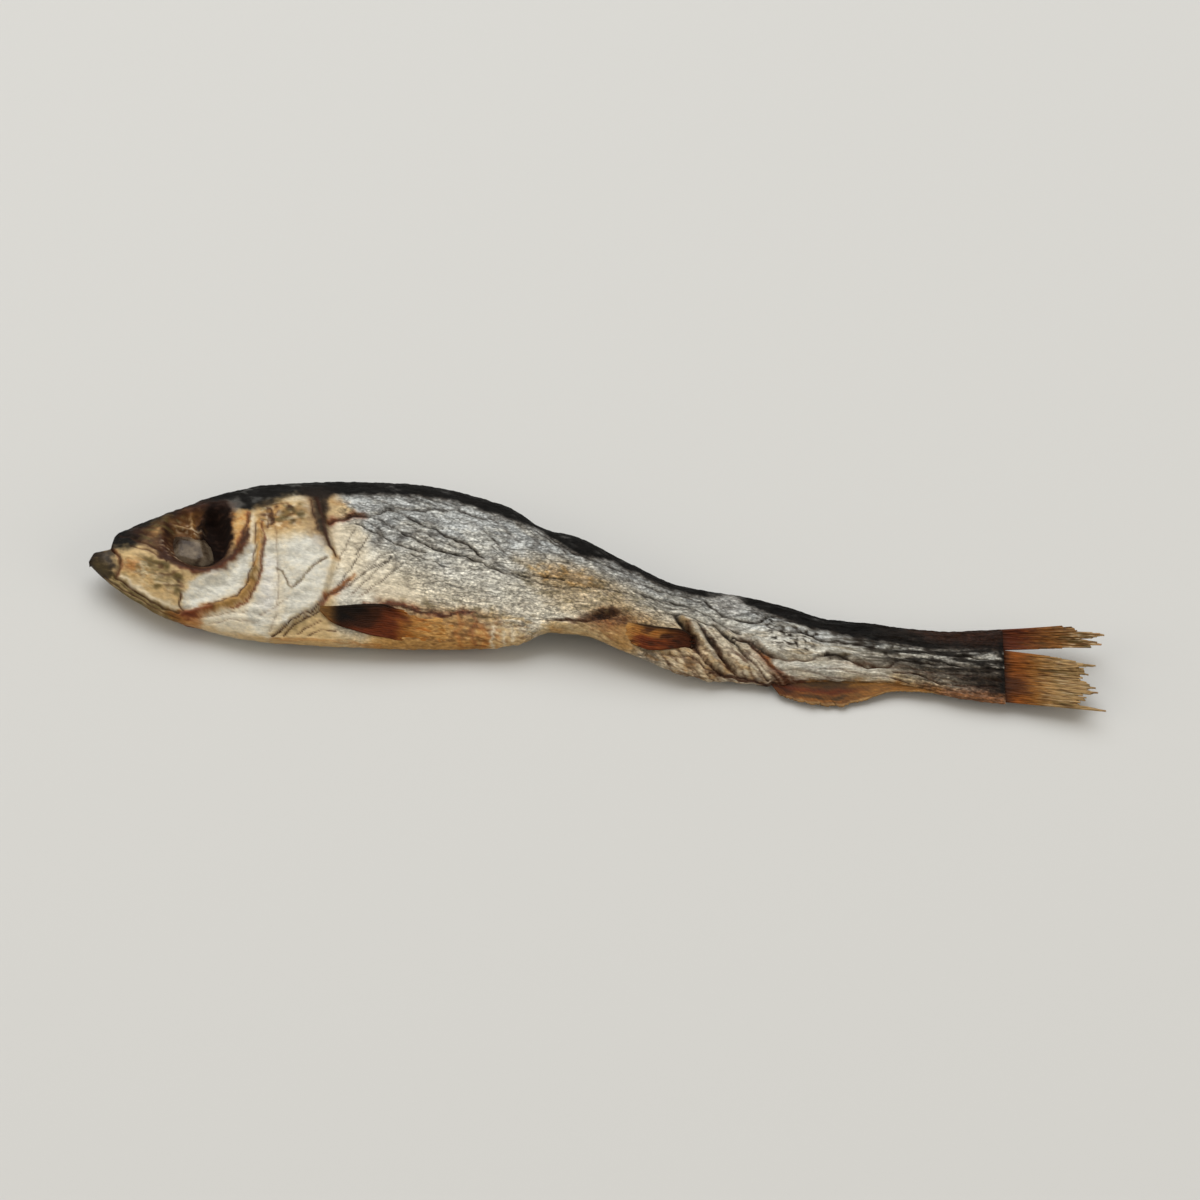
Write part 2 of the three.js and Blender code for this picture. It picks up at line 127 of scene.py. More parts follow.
# Broad ridges (positive) and hollows of the skin: height, half width and line.
FORMS = [
    (0.40, 1.6, [(4.8, 1), (8, -1.6), (12, -3.8)]),
    (0.35, 1.0, [(5, 3.4), (9, 6.8), (13, 9.6)]),
    (0.30, 0.9, [(10, 0.6), (14, -0.4), (17.5, 0.6), (19.6, 3.5), (20.3, 7), (19.6, 9.6)]),
    (0.55, 0.5, [(22.2, 8), (22.4, 4), (21.2, -1), (20, -3.4), (15.5, -5.3), (13, -6.6)]),
    (-0.35, 1.3, [(20, 2.5), (17.5, -1.5), (14, -3.5)]),
    (-0.30, 1.2, [(24.4, 3), (24.2, -2), (22.5, -6)]),
    (-0.35, 3.0, [(42, 1.5), (52, 0.5), (60, 1.5)]),
    (0.40, 1.2, [(56, -3.6), (61, -1.8), (68, -2.6)]),
    (0.45, 0.9, [(78.5, 1), (81.5, -2.6), (85, -4.6)]),
    (0.55, 0.28, [(10.8, 7.0), (12.0, 7.3), (12.9, 7.0)]),
    (0.60, 0.30, [(13.1, 8.8), (13.3, 7.4), (13.9, 5.8)]),
    (0.50, 0.30, [(14.5, 8.6), (14.6, 6.2)]),
    (0.50, 0.55, [(77.2, 1.6), (79.0, -0.8), (80.6, -3.2), (82.2, -5)]),
    (0.40, 0.45, [(80.8, 0.4), (83, -2), (85.6, -4.8)]),
    (0.35, 0.40, [(82.8, 0.2), (85, -2.4), (87.4, -5.4)]),
    (0.50, 0.45, [(86.6, -0.4), (88, -2.0), (89.6, -2.6)]),
    (0.40, 0.40, [(94.2, -2.0), (96, -0.8), (98, -0.8), (100, -1.6)]),
    (-0.22, 0.50, [(95.6, -1.8), (97.6, -1.7)]),
    (-0.18, 0.40, [(99.4, -2.3), (101.4, -2.3)]),
    (-0.35, 0.55, [(66, 0.4), (68.4, 0.9)]),
    (0.45, 0.60, [(90.6, -4.0), (94, -4.2), (97, -3.9), (100.4, -3.8)]),
    (0.35, 0.35, [(89.4, 2.2), (91.4, 2.1), (93, 1.8)]),
    (-0.40, 0.70, [(77.8, -0.4), (78.4, -3)]),
]

# Creases of the skin: depth, half width, how dark the shade painted into them is, and the line.
CREASES = [
    # mouth and jaws
    (0.55, 0.30, 0.65, [
        (2.9, 2.0), (4.1, 0.8), (4.2, -0.6), (3.7, -2.1), (6, -3.6), (8, -4.7), (10, -5.7),
        (12, -6.2),
    ]),
    (0.25, 0.20, 0.60, [(2, -2.3), (6, -4.5), (10, -6.5), (12, -7.2)]),
    (0.08, 0.25, 0.14, [(4.8, -0.4), (7, -1.5), (9.4, -3.0), (11.8, -3.9)]),
    (0.08, 0.25, 0.16, [(6.4, 1.4), (8.6, 0.8), (10.4, -0.6), (12.2, -1.4)]),
    (0.20, 0.25, 0.80, [(12.3, -3.6), (12.2, -5.2), (12.8, -6.0)]),
    # brow and nostril
    (0.16, 0.22, 0.70, [(4, 4), (7, 3.5), (9.5, 2.4), (10.3, 1)]),
    (0.12, 0.20, 0.55, [(5.5, 2.6), (8, 2.4), (9.6, 1.3)]),
    (0.12, 0.20, 0.50, [(6, 5.3), (8.5, 5.6), (10, 6.6)]),
    # behind the eye and the gill cover
    (0.20, 0.22, 0.60, [(19.2, 3.8), (20, 5.6), (20.6, 7.6), (20.9, 9.4)]),
    (0.22, 0.20, 0.70, [(21.6, 8.2), (21.8, 5), (21.6, 2), (20.6, -1.2), (19.4, -3)]),
    (0.16, 0.18, 0.55, [(22.9, 6), (22.9, 3), (22.3, 0), (21.4, -2.8)]),
    (0.16, 0.18, 0.45, [(31, 4), (29.5, 2.8), (28.5, 1.3), (27.5, -0.3), (26.5, -1)]),
    (0.10, 0.16, 0.40, [(26.5, -1), (26, 0), (25.5, 1.3), (24.7, 2)]),
    (0.14, 0.18, 0.22, [(24.4, 7.6), (24.7, 3), (24.9, -1), (24.8, -5), (24, -7.4)]),
    (0.12, 0.20, 0.55, [(23.2, 11), (23.4, 9.2), (23.3, 7.8)]),
    (0.10, 0.18, 0.30, [(22.6, -5), (24.2, -4.2), (26.2, -2.6)]),
    (0.10, 0.18, 0.30, [(16, -7.4), (19, -6.4), (22.4, -6.2)]),
    (0.08, 0.18, 0.30, [(15, -6.6), (18, -5.6), (21, -4.8)]),
    (0.35, 0.22, 0.95, [(30.4, -2.8), (29, -4), (27, -5.4), (25.5, -6.9), (24.3, -8.1)]),
    (0.22, 0.18, 0.85, [(30.3, -3.6), (28.6, -4.9), (26.8, -6.5), (25.6, -8)]),
    (0.18, 0.16, 0.75, [(30.6, -5.0), (29, -6), (27.4, -7.4)]),
    (0.14, 0.16, 0.70, [(32.5, -6.3), (30.5, -6.4), (28.8, -7.3)]),
    (0.30, 0.30, 0.90, [(29.6, 13), (30.4, 10), (31, 7), (32.2, 4.6)]),
    (0.15, 0.20, 0.70, [(28.7, 12.6), (29.4, 10), (29.8, 8)]),
    # shoulder and throat
    (0.40, 0.28, 0.80, [(31.3, 9.5), (33, 10.4), (34.4, 11.1), (36.4, 11.3)]),
    (0.35, 0.25, 0.50, [(30.4, -2.5), (31.5, -1), (33, 0), (34.2, 1.6)]),
    (0.18, 0.18, 0.70, [(36.4, 8.4), (35.6, 6.6), (34.8, 5.2)]),
    (0.16, 0.18, 0.65, [(37.4, 4.4), (35.4, 2), (33, -0.2)]),
    (0.18, 0.18, 0.75, [(38.6, 4.9), (36.6, 3.2), (34, 0.6)]),
    (0.12, 0.16, 0.55, [(35.4, 5.4), (34, 2.8), (32.6, 0.4)]),
    (0.12, 0.16, 0.60, [(39.6, 5.6), (37.8, 3.6), (36, 1.4), (34.4, -0.6)]),
    (0.10, 0.16, 0.50, [(41, 4.8), (39, 2.8), (37.2, 0.8), (35.4, -1)]),
    (0.08, 0.16, 0.40, [(34.8, 9.2), (33.8, 7.2), (33, 5), (32.4, 2.8)]),
    (0.10, 0.16, 0.40, [(40.5, 6.6), (38, 5.5), (36, 3.4)]),
    # long creases of the flank
    (0.30, 0.24, 0.85, [
        (36.4, 11.3), (37.8, 11.8), (38.6, 12.5), (40, 12.4), (41.4, 11.8), (43.7, 10.7),
        (45.2, 10.4), (46.2, 9.6), (47.8, 9.1), (49.3, 8.8), (50.4, 7.8), (51.4, 6.8),
    ]),
    (0.32, 0.24, 0.95, [
        (40.8, 9.4), (42.6, 8.5), (44, 7.9), (45.4, 7.4), (48.7, 6.9), (50.4, 6.5), (52.1, 5.8),
        (53.8, 5.3),
    ]),
    (0.20, 0.20, 0.70, [(53.8, 5.3), (57.1, 5.0), (58.8, 5.3), (61.6, 5.1)]),
    (0.28, 0.22, 0.90, [
        (34.7, 10), (36.1, 9.3), (37.5, 8.9), (38.9, 8.1), (40, 7.6), (41.4, 7.2), (43.7, 6.7),
    ]),
    (0.22, 0.22, 0.85, [
        (39, 12.7), (40.3, 13), (42, 12.9), (43.7, 13), (44.8, 13.4), (47.9, 13.6), (49.3, 13.2),
        (51, 12.8), (53, 12.9),
    ]),
    (0.16, 0.18, 0.55, [(36.7, 11.2), (38.1, 10.7), (39.4, 10), (40.8, 9.4), (42.4, 9.3), (44.4, 8.7)]),
    (0.16, 0.18, 0.50, [(39.6, 11.5), (41.6, 10.7), (43.4, 9.8), (46, 8.6), (48.4, 7.9), (50, 7.7)]),
    (0.14, 0.20, 0.60, [(42, 6.4), (44.4, 5.7), (46.6, 5)]),
    (0.12, 0.20, 0.55, [(53.8, 5.2), (56.5, 4.6), (59, 4.2), (62, 3.9), (66, 4.6), (70, 4.1)]),
    (0.12, 0.20, 0.50, [(51.4, 10.8), (53, 9.6), (54, 8)]),
    (0.14, 0.18, 0.60, [(60, 11), (62.5, 9.4), (65, 8.6), (68, 7.6), (71, 6.6)]),
    (0.14, 0.20, 0.60, [(55.5, 12.6), (58, 11.8), (60, 10.6), (62, 9)]),
    # belly arch, behind the ribs
    (0.35, 0.20, 0.45, [(59.5, -1.2), (62, -0.9), (65, -0.6), (67, 0.3), (68.6, 1.1)]),
    (0.14, 0.18, 0.60, [(69, 0.2), (72, -0.2), (75.5, -0.4), (78, -1.0)]),
    # twisted folds ahead of the tail
    (0.70, 0.40, 0.85, [(76.2, 1.6), (77.6, -0.6), (78.8, -2.8), (80.2, -4.6), (82, -6)]),
    (0.65, 0.38, 0.90, [(79.2, 0.6), (80.4, -1.4), (82, -3.8), (84, -5.8), (88, -7.0)]),
    (0.40, 0.28, 0.80, [(81, 0.9), (83.6, -1.4), (85.6, -3.6), (88, -6.2)]),
    (0.35, 0.26, 0.70, [(83.4, -0.8), (85.4, -0.9), (86.8, -2.2), (88.4, -4.2), (90, -5.6)]),
    (0.22, 0.20, 0.75, [(74, -4.3), (78, -4.1), (80.4, -5.6), (83, -6.6), (86, -6.8)]),
    (0.20, 0.20, 0.60, [(73.6, 1.4), (76, 1.9), (78.6, 1.2), (81, 0.6)]),
    (0.30, 0.24, 0.80, [(80, 4.2), (82, 2.6), (84, 1.9), (86.6, 1.9), (88, 2.9)]),
    (0.24, 0.22, 0.60, [(71, 4.4), (74, 3.6), (77, 3.4), (80, 2.4), (82.5, 0.8), (84.5, 0.1)]),
    (0.18, 0.20, 0.60, [(68, 5.8), (71, 5.9), (74, 5), (77, 4.6), (79.5, 4.0)]),
    # tail
    (0.36, 0.26, 0.85, [
        (86, -0.8), (87.6, -2.4), (90, -3.1), (93, -2.8), (95, -1.7), (96.6, -1.2), (98.6, -1.8),
        (100.6, -2.6), (103, -2.3), (105, -1.1), (109, -1.2), (112, -0.8), (118, -0.9),
    ]),
    (0.26, 0.22, 0.80, [
        (88, 1.6), (90, 0.6), (92.6, 1.2), (94.6, 0.4), (97, 0.7), (101, 0.2), (105, 0.5),
    ]),
    (0.28, 0.22, 0.80, [(104, -3), (107, -2.8), (110, -3.8), (114, -3.7), (117, -3.4)]),
    (0.20, 0.20, 0.70, [(94, -4.2), (97, -3.4), (100, -4.1), (103, -3.6), (106, -4.2)]),
    (0.20, 0.20, 0.60, [(88.6, -4.6), (92, -4.3), (95, -4.8), (99, -4.9)]),
    (0.16, 0.18, 0.65, [(106, 0.4), (110, 0.2), (114, 0.6), (118, 0.3)]),
    (0.16, 0.18, 0.65, [(106, -2), (110, -2.4), (114, -2.1), (118, -2.4)]),
]

# ---- colours, each with how metallic and how rough the skin is there ----------------------

FINISHES = {
    "silver": ((0.86, 0.85, 0.80), 0.22, 0.40),
    "steel": ((0.715, 0.73, 0.725), 0.28, 0.40),
    "pearl": ((0.77, 0.765, 0.72), 0.14, 0.32),
    "white": ((0.785, 0.785, 0.745), 0.10, 0.32),
    "grey": ((0.775, 0.77, 0.75), 0.15, 0.36),
    "cream": ((0.86, 0.815, 0.71), 0.10, 0.40),
    "gold": ((0.76, 0.60, 0.36), 0.06, 0.44),
    "ochre": ((0.60, 0.42, 0.20), 0.05, 0.46),
    "tan": ((0.775, 0.675, 0.495), 0.05, 0.46),
    "orange": ((0.60, 0.34, 0.12), 0.0, 0.44),
    "russet": ((0.38, 0.17, 0.075), 0.0, 0.46),
    "umber": ((0.21, 0.11, 0.06), 0.0, 0.54),
    "olive": ((0.35, 0.30, 0.17), 0.0, 0.50),
    "soot": ((0.11, 0.08, 0.055), 0.0, 0.60),
    "black": ((0.04, 0.035, 0.03), 0.0, 0.72),
    # painted shade for the deep gap behind the eyeball and the pit in front of it
    "socket_shade": ((0.075, 0.035, 0.02), 0.0, 0.95),
}
# Patches: finish, softness of the edge, strength and outline.
PATCHES = [
    # snout and jaws
    ("tan", 0.9, 0.8, [(4, 2), (8, 1.6), (12.6, 0), (12.8, -3), (12.3, -5), (8, -4), (4.2, -1.6)]),
    ("olive", 0.8, 0.60, [(7, 1), (9, 0.8), (11.4, -1), (11.6, -2.6), (9.6, -2.2), (7.4, -1)]),
    ("gold", 0.8, 0.3, [(4.4, -1), (8, -3.6), (11.8, -5), (11.4, -3.8), (7, -1.8), (4.6, 0)]),
    ("orange", 0.5, 0.7, [(5.2, 0.5), (6.4, 0.6), (6.8, -0.6), (5.6, -1.1), (4.9, -0.6)]),
    ("olive", 0.5, 0.9, [
        (0, -0.6), (2, -1), (3.6, -2), (8, -4.8), (12.4, -6.3), (12.8, -9), (8, -8), (3, -5),
    ]),
    ("soot", 0.45, 0.95, [(-1, -3), (-1, 2), (3.2, 2), (3.3, 0.6), (3.6, -1), (3.2, -2), (1.6, -2.8)]),
    ("olive", 0.5, 0.55, [(0.2, -1.2), (0.6, 0), (1.6, 0.2), (2.6, -0.6), (3.4, -1.4), (2, -2.4)]),
    ("grey", 0.5, 0.25, [(1.6, 1.2), (2.8, 1.6), (3.1, 0.6), (3, -0.6), (2, 0)]),
    ("black", 0.5, 0.97, [(2.4, 6), (2.6, 2.2), (4.4, 1.9), (6, 2.7), (7, 4.2), (6.6, 6)]),
    ("umber", 0.6, 0.75, [(5.2, 4.4), (9.6, 1.6), (10.6, 2.8), (9.4, 5), (7, 5.4), (5.6, 5.4)]),
    ("ochre", 0.7, 0.55, [(7, 4.9), (9, 4.4), (11, 7.4), (10.4, 8.2), (8, 6.2)]),
    # orbit
    ("umber", 0.5, 0.97, [
        (9.2, 3), (9.4, 6), (11, 8.6), (14, 10.6), (17, 11), (18.9, 10.6), (19.2, 8), (18.6, 4),
        (17.6, 1.4), (14, 0.2), (11, 0.6), (9.8, 1.8),
    ]),
    ("ochre", 0.5, 0.40, [(10.4, 4.6), (10.6, 7.4), (13, 9.4), (14.6, 9), (14.6, 5.6), (12, 5.4)]),
    # painted shade in the deep gap behind the eyeball
    ("socket_shade", 0.5, 1.0, [
        (14.2, 2), (14, 8), (15.6, 10.6), (18.5, 10.4), (18.9, 7), (18.4, 4.4), (17.4, 2.4), (16, 1.2),
    ]),
    # painted shade in the pit on the front wall of the socket
    ("socket_shade", 0.4, 0.5, [(9.8, 5), (10, 6.8), (11.2, 6.4), (11.6, 5), (10.6, 4.4)]),
    ("grey", 0.35, 0.35, [(17.6, 11), (19.2, 11.8), (20.2, 10.8), (19.6, 9.4), (18.8, 9.6)]),
    ("gold", 0.35, 0.95, [(18.9, 4.6), (19, 9.4), (21, 10), (21.2, 7), (20.1, 4.9), (19.2, 3.4)]),
    ("gold", 0.5, 0.85, [(19, 5), (19, 8), (20, 9), (20.6, 7), (19.8, 5)]),
    # cheek
    ("cream", 0.8, 0.75, [
        (13, -6.6), (15.5, -5.6), (20, -3.8), (22, -2), (23.6, -8.6), (18, -9.6), (13, -8.6),
    ]),
    ("cream", 0.5, 0.7, [(15, -6.2), (19.4, -4.6), (22, -3.4), (23, -6), (19, -6.8), (16, -7.2)]),
    ("pearl", 0.7, 0.5, [(15, -6.6), (19, -5), (22, -4.5), (22, -7.6), (18, -8.2)]),
    ("pearl", 0.35, 0.95, [
        (12.4, -4.2), (12.6, -5.9), (14.2, -5.6), (17, -4.2), (20.3, -1.8), (21.6, 2), (21.7, 5),
        (20.9, 5.2), (18.6, 1.8), (15, -0.2), (13.4, -1.6), (12.9, -3),
    ]),
    ("white", 0.5, 0.7, [
        (13, -3.4), (16, -1.4), (19, 0.6), (20.6, 3.2), (21, 1), (18, -2.4), (14, -5),
    ]),
    ("orange", 0.6, 0.7, [(10.4, -6.2), (12.6, -5.9), (15, -6.2), (14.8, -8.4), (12, -8)]),
    ("russet", 0.4, 0.9, [(12.2, -6.1), (14.4, -5.9), (14.6, -6.9), (13, -7.2), (12.3, -6.9)]),
    # gill cover
    ("pearl", 0.5, 0.92, [
        (22.6, 7), (22.9, 2), (21.9, -2.5), (20.7, -4.5), (22, -7.4), (23.8, -8.8), (25, -7.2),
        (27, -5.4), (29.5, -3.6), (30.8, -2), (31.4, 1), (31.9, 4.2), (30.6, 6.8), (28, 7.6),
        (25, 7.3),
    ]),
    # painted shade: greyer front of the gill cover
    ("grey", 0.9, 0.75, [(22.8, 4), (24.4, 3), (24.8, -2), (24, -5), (22.4, -4), (22.6, 0)]),
    ("cream", 0.5, 0.55, [(24.4, 2), (25.4, 0.6), (25.8, -4), (24.9, -7.6), (24, -7.8), (24.8, -3)]),
    # whiter, pearly skin of the gill cover, with a painted highlight on it
    ("white", 0.8, 0.75, [(25.8, 3), (26.2, 6.6), (28.6, 7.2), (30.6, 5.8), (30.4, 4), (28.2, 2)]),
    ("white", 0.5, 0.6, [(26.8, -0.8), (30.2, 2.6), (31, 1), (29.6, -2), (27, -4.4), (25.8, -5.8)]),
    ("tan", 0.9, 0.9, [
        (21.8, 6), (21.8, 10.4), (24, 11.6), (26, 12.8), (28.6, 12.4), (29, 9.4), (28.6, 7.4),
        (25, 6),
    ]),
    ("ochre", 0.9, 0.70, [
        (22.4, 7.6), (22.4, 10.4), (24.6, 11.4), (27.6, 10.8), (27.4, 8.4), (25, 7.4),
    ]),
    ("cream", 0.4, 0.8, [(25.6, 12), (26.8, 13.2), (28.4, 12.8), (28.6, 10.8), (28, 12), (26.8, 12.2)]),
    # nape
    ("umber", 1.2, 0.5, [(27.8, 14), (28.4, 11), (29, 8), (30.6, 6), (32, 6), (31.4, 10), (31.3, 14)]),
    ("soot", 0.5, 0.85, [
        (28.8, 14.6), (29.3, 11.4), (29.9, 8.2), (30.9, 6.6), (32.4, 4.4), (31.5, 7), (31, 10),
        (31.2, 14.6),
    ]),
    # shoulder
    ("cream", 0.8, 0.9, [(31.4, 9.4), (31.6, 5), (33, 1), (35.6, 3), (36.6, 8.2), (35, 10.2)]),
    ("cream", 1.5, 0.7, [(33, 2), (35, 5), (38, 5.6), (43, 4), (44, 0), (40, -2), (34, -2)]),
    ("tan", 0.4, 0.9, [(31.2, 10), (31.4, 13.1), (33, 12.7), (35, 11.4), (34, 10.8)]),
    ("ochre", 0.4, 0.5, [(31.4, 12.4), (31.6, 13.3), (34, 12.9), (33.4, 12.2)]),
    ("pearl", 0.7, 0.7, [(31, 0.6), (33, -2.4), (37.6, -2.2), (38, -0.4), (34, 0.8), (33, 3)]),
    # belly, flank and arch
    ("cream", 1.8, 0.55, [(36, -3), (37, 2), (44, 3), (52, 0), (58, -3), (57, -7), (36, -7)]),
    ("tan", 0.9, 0.85, [
        (24, -7.4), (30, -6.2), (34, -6.6), (44, -6.8), (54, -5.4), (58, -4.4), (56, -10),
        (24, -11),
    ]),
    ("gold", 0.8, 0.95, [(37, -6), (41, -2.6), (46, -2.2), (50, -2), (53, -5), (52, -9), (36, -10)]),
    ("ochre", 1.0, 0.4, [(40, -3), (47, -3), (51, -5), (52, -8), (42, -9), (38, -8)]),
    ("ochre", 0.8, 0.5, [
        (38, -0.8), (46, -0.9), (50, -0.6), (54, -1), (52, -2.6), (44, -2.6), (38, -2.2),
    ]),
    ("gold", 1.8, 0.55, [(50, -2.4), (55, -3), (57, -5), (50, -8)]),
    ("gold", 1.6, 0.50, [(56, 7.2), (62, 7.4), (70, 5), (74, 1.6), (68, 0.6), (62, 1), (58, 4.4)]),
    ("ochre", 0.9, 0.40, [(60, 6.8), (64, 6.6), (66, 5.2), (62, 4.8), (59.6, 5.6)]),
    ("cream", 1.0, 0.45, [(60, 4), (66, 3.6), (72, 1.4), (68, 0.8), (62, 1.4)]),
    ("tan", 0.45, 0.95, [
        (58.6, -3), (60, -1.3), (62, -1), (65, -0.7), (67, 0.2), (70, -0.4), (71, -4.6), (66, -5),
        (62, -5), (58, -6),
    ]),
    ("ochre", 0.8, 0.65, [(67, 0.6), (70, 0.4), (73, -0.6), (72.6, -4.4), (69, -4.6), (66.6, -2)]),
    ("ochre", 1.0, 0.55, [
        (63.6, -1), (65.6, 1.2), (68, 2.2), (73, 1.2), (74, 0), (70, -0.8), (66, -1.6),
    ]),
    ("russet", 0.6, 0.35, [
        (65, -0.6), (66.4, 1.0), (68.4, 1.6), (70.4, 0.8), (69.4, -0.6), (67, -1.4),
    ]),
    ("umber", 0.50, 0.85, [
        (62.8, -0.7), (65.4, 0.5), (66.4, 1.4), (67.8, 1.8), (68.6, 1.3), (67.6, 0.4), (66, -0.4),
    ]),
    ("soot", 0.25, 0.40, [(65.6, 0.2), (66.4, 1.0), (67.4, 1.4), (67.9, 1.1), (66.9, 0.4)]),
    # twisted folds
    ("silver", 1.6, 0.5, [(70, 4), (76, 3.6), (84, 2.4), (86, 0), (78, 1), (72, 2)]),
    ("cream", 1.2, 0.80, [
        (71, -4), (74, 1.4), (79, 1), (84, -0.6), (90, -2.8), (98, -3.2), (104, -3.2), (104, -5.6),
        (90, -8), (76, -9),
    ]),
    ("umber", 1.0, 0.14, [(71, -4.2), (76, -4.4), (82, -6.4), (90, -7), (84, -9.4), (73, -9)]),
    ("gold", 1.2, 0.35, [(70, 1.6), (76, 1), (80, -1.8), (84, -5), (80, -7.6), (74, -5)]),
    ("russet", 0.5, 0.5, [(85.6, -1.2), (86.8, -1.6), (90, -5), (89, -5.6), (87, -3.6)]),
    ("pearl", 1.6, 0.5, [(70, 4.4), (76, 4.2), (84, 2.6), (86, 0.6), (78, 1.2), (72, 2)]),
    ("umber", 0.35, 0.80, [
        (88.6, -5.2), (93, -5.3), (97, -5.0), (101, -4.5), (105, -4.2), (105, -8), (88, -8),
    ]),
    ("russet", 0.4, 0.50, [(89, -5.3), (92.6, -5.4), (92.8, -7.6), (89.2, -7.6)]),
    # pale edge over the anal fin, made lighter still with painted light where it faces away from the
    # lamps
    ("white", 0.6, 0.80, [
        (88, -3.4), (94, -2.8), (100, -2.8), (104, -3), (103, -4.6), (97, -5), (91, -5),
    ]),
    # tail
    ("grey", 0.6, 0.6, [(80.6, 5.3), (84.8, 5.6), (85.8, 4), (83.4, 2.6), (80.8, 3.4)]),
    ("soot", 1.0, 0.9, [(101, 4), (110, 4.4), (119, 5.8), (119, 2.1), (110, 1.5), (103, 1.6)]),
    ("russet", 0.8, 0.40, [(106, 3.7), (119, 5.4), (119, 2.6), (110, 2.2)]),
    ("tan", 0.6, 0.6, [(98, -3.4), (104, -2.8), (110, -4), (112, -4.6), (108, -5), (98, -5)]),
    ("soot", 0.9, 0.55, [
        (99, -1.6), (106, -0.7), (118.8, -0.4), (118.8, -4.6), (112, -4.2), (106, -3.3),
    ]),
    ("umber", 0.6, 0.10, [(105, -4.3), (112, -4.4), (118.8, -4.0), (118.8, -7), (105, -6.4)]),
    ("russet", 0.6, 0.55, [
        (107, -4.2), (112, -4.4), (115.6, -3.6), (118.8, -3.2), (118.8, -7), (108, -6),
    ]),
    ("orange", 0.6, 0.40, [(104, -4.6), (112, -4.8), (118.8, -4.4), (118.8, -7), (104, -6)]),
    ("ochre", 0.5, 0.7, [(98, -4.6), (104, -4.3), (110, -4.6), (110, -6), (98, -6)]),
    ("soot", 0.7, 0.85, [(112, -2.2), (118.8, -1.4), (118.8, -4.6), (114.6, -3.8)]),
]
# Mottled patches: finish, size of the spots, strength and outline. The place of a patch in the
# list picks its noise.
MOTTLES = [
    ("olive", 2.2, 0.90, [(4.6, 0.6), (9, 1.4), (12.6, 0.4), (12.6, -4), (8, -3.4), (4.6, -1.2)]),
    ("umber", 1.3, 0.55, [(9, 0.6), (12.4, 0.6), (13, -1.4), (12.4, -3.2), (10.6, -3.2), (9.4, -1.6)]),
    ("cream", 1.6, 0.45, [(4.6, 0.2), (8, 0.8), (11, -1.6), (11.6, -4.4), (7, -2.8)]),
    ("olive", 1.8, 0.90, [(22.2, 10.8), (22.4, 8), (24.4, 7.6), (28, 8.6), (27.8, 11.6), (25.4, 12)]),
    ("umber", 1.5, 0.75, [(22.4, 10.8), (22.6, 8.2), (24.4, 7.8), (27.4, 9), (27, 11.4), (25.4, 11.8)]),
    ("cream", 1.2, 0.60, [(21.4, 10.4), (21.6, 7), (25, 7.4), (28.4, 8.4), (28.4, 12), (25, 12)]),
    ("orange", 1.0, 0.55, BEHIND_EYE),
    ("tan", 1.1, 0.60, BEHIND_EYE),
    ("ochre", 1.2, 0.35, [(11, 4), (11.2, 7.4), (13, 9.4), (15, 9.4), (14.8, 5.4), (12, 5), (10.8, 2)]),
    ("cream", 0.8, 0.75, [(10.8, 6.2), (11, 7.8), (13, 7.9), (14.6, 7), (13.4, 6), (12, 6.6)]),
    ("cream", 0.8, 0.95, [(9.7, 3.9), (10.4, 3.9), (11.4, 2.4), (12.6, 1.5), (12, 1.0), (10.4, 2)]),
    ("olive", 1.3, 0.75, [(6, 3.6), (8.4, 3.0), (12.4, 8), (11.6, 9), (8, 6.2)]),
    ("umber", 1.6, 0.50, [
        (37, -0.8), (44, -0.4), (50, -0.6), (54, -1.6), (53, -6), (42, -7), (39, -3),
    ]),
    ("olive", 1.6, 0.45, [(40, -0.4), (46, 0.6), (54, 0.4), (58, -2), (50, -3), (42, -2.4)]),
    ("olive", 1.6, 0.35, [(55, 7.4), (62, 7.6), (70, 5), (75, 2), (68, 0.6), (60, 0.8), (56, 3.6)]),
    ("gold", 1.2, 0.70, [(57, 7), (64, 7.2), (67, 5), (64, 3.6), (58, 4.6)]),
    ("tan", 1.4, 0.80, [(52, -0.6), (58, -0.6), (60, -2), (56, -6), (52, -7)]),
    ("orange", 1.2, 0.40, [(50, -2), (53, -1.4), (54, -4), (53, -7), (48, -7)]),
    ("ochre", 0.8, 0.40, [(4.4, 1), (8, 1.4), (9.6, -1), (7.6, -3.2), (4.4, -1.4)]),
    ("olive", 0.6, 0.30, [(4.6, 0.8), (8, 1.4), (11.6, -1.6), (11.4, -4.6), (7.4, -3), (4.6, -1.2)]),
    ("umber", 1.4, 0.35, [(48, -1.6), (58, -2), (59, -3.6), (56, -6.4), (48, -7)]),
    ("umber", 0.7, 0.55, [
        (62, -1.2), (66, 1.2), (70, 1.8), (73, 1.0), (72, -0.4), (68.6, -0.6), (66, -2),
    ]),
    ("russet", 1.2, 0.40, [(65, -1), (68.6, -0.2), (69, -2.6), (68, -3.6), (65.6, -2.4)]),
    ("soot", 1.5, 0.70, [
        (93, 3), (96, 2.4), (104, 1.4), (118, 1.8), (118, -1.8), (108, -1.6), (101, -0.6),
        (95, 0.2),
    ]),
    ("soot", 1.2, 0.35, [
        (56, 12), (60, 10.6), (70, 7.8), (80, 4.4), (80, 3.4), (70, 5.8), (60, 8.4), (56, 10),
    ]),
    ("soot", 0.8, 0.85, [(86, 3.4), (91, 3.6), (95, 1), (93, -2), (89, -1.8)]),
    ("umber", 1.1, 0.20, [(72, -4), (76, 0), (82, 0.6), (88, -3), (90, -6), (84, -9), (74, -8)]),
    ("ochre", 1.6, 0.45, [(71, -4), (76, -2), (84, -4), (90, -6), (84, -9), (74, -8)]),
]
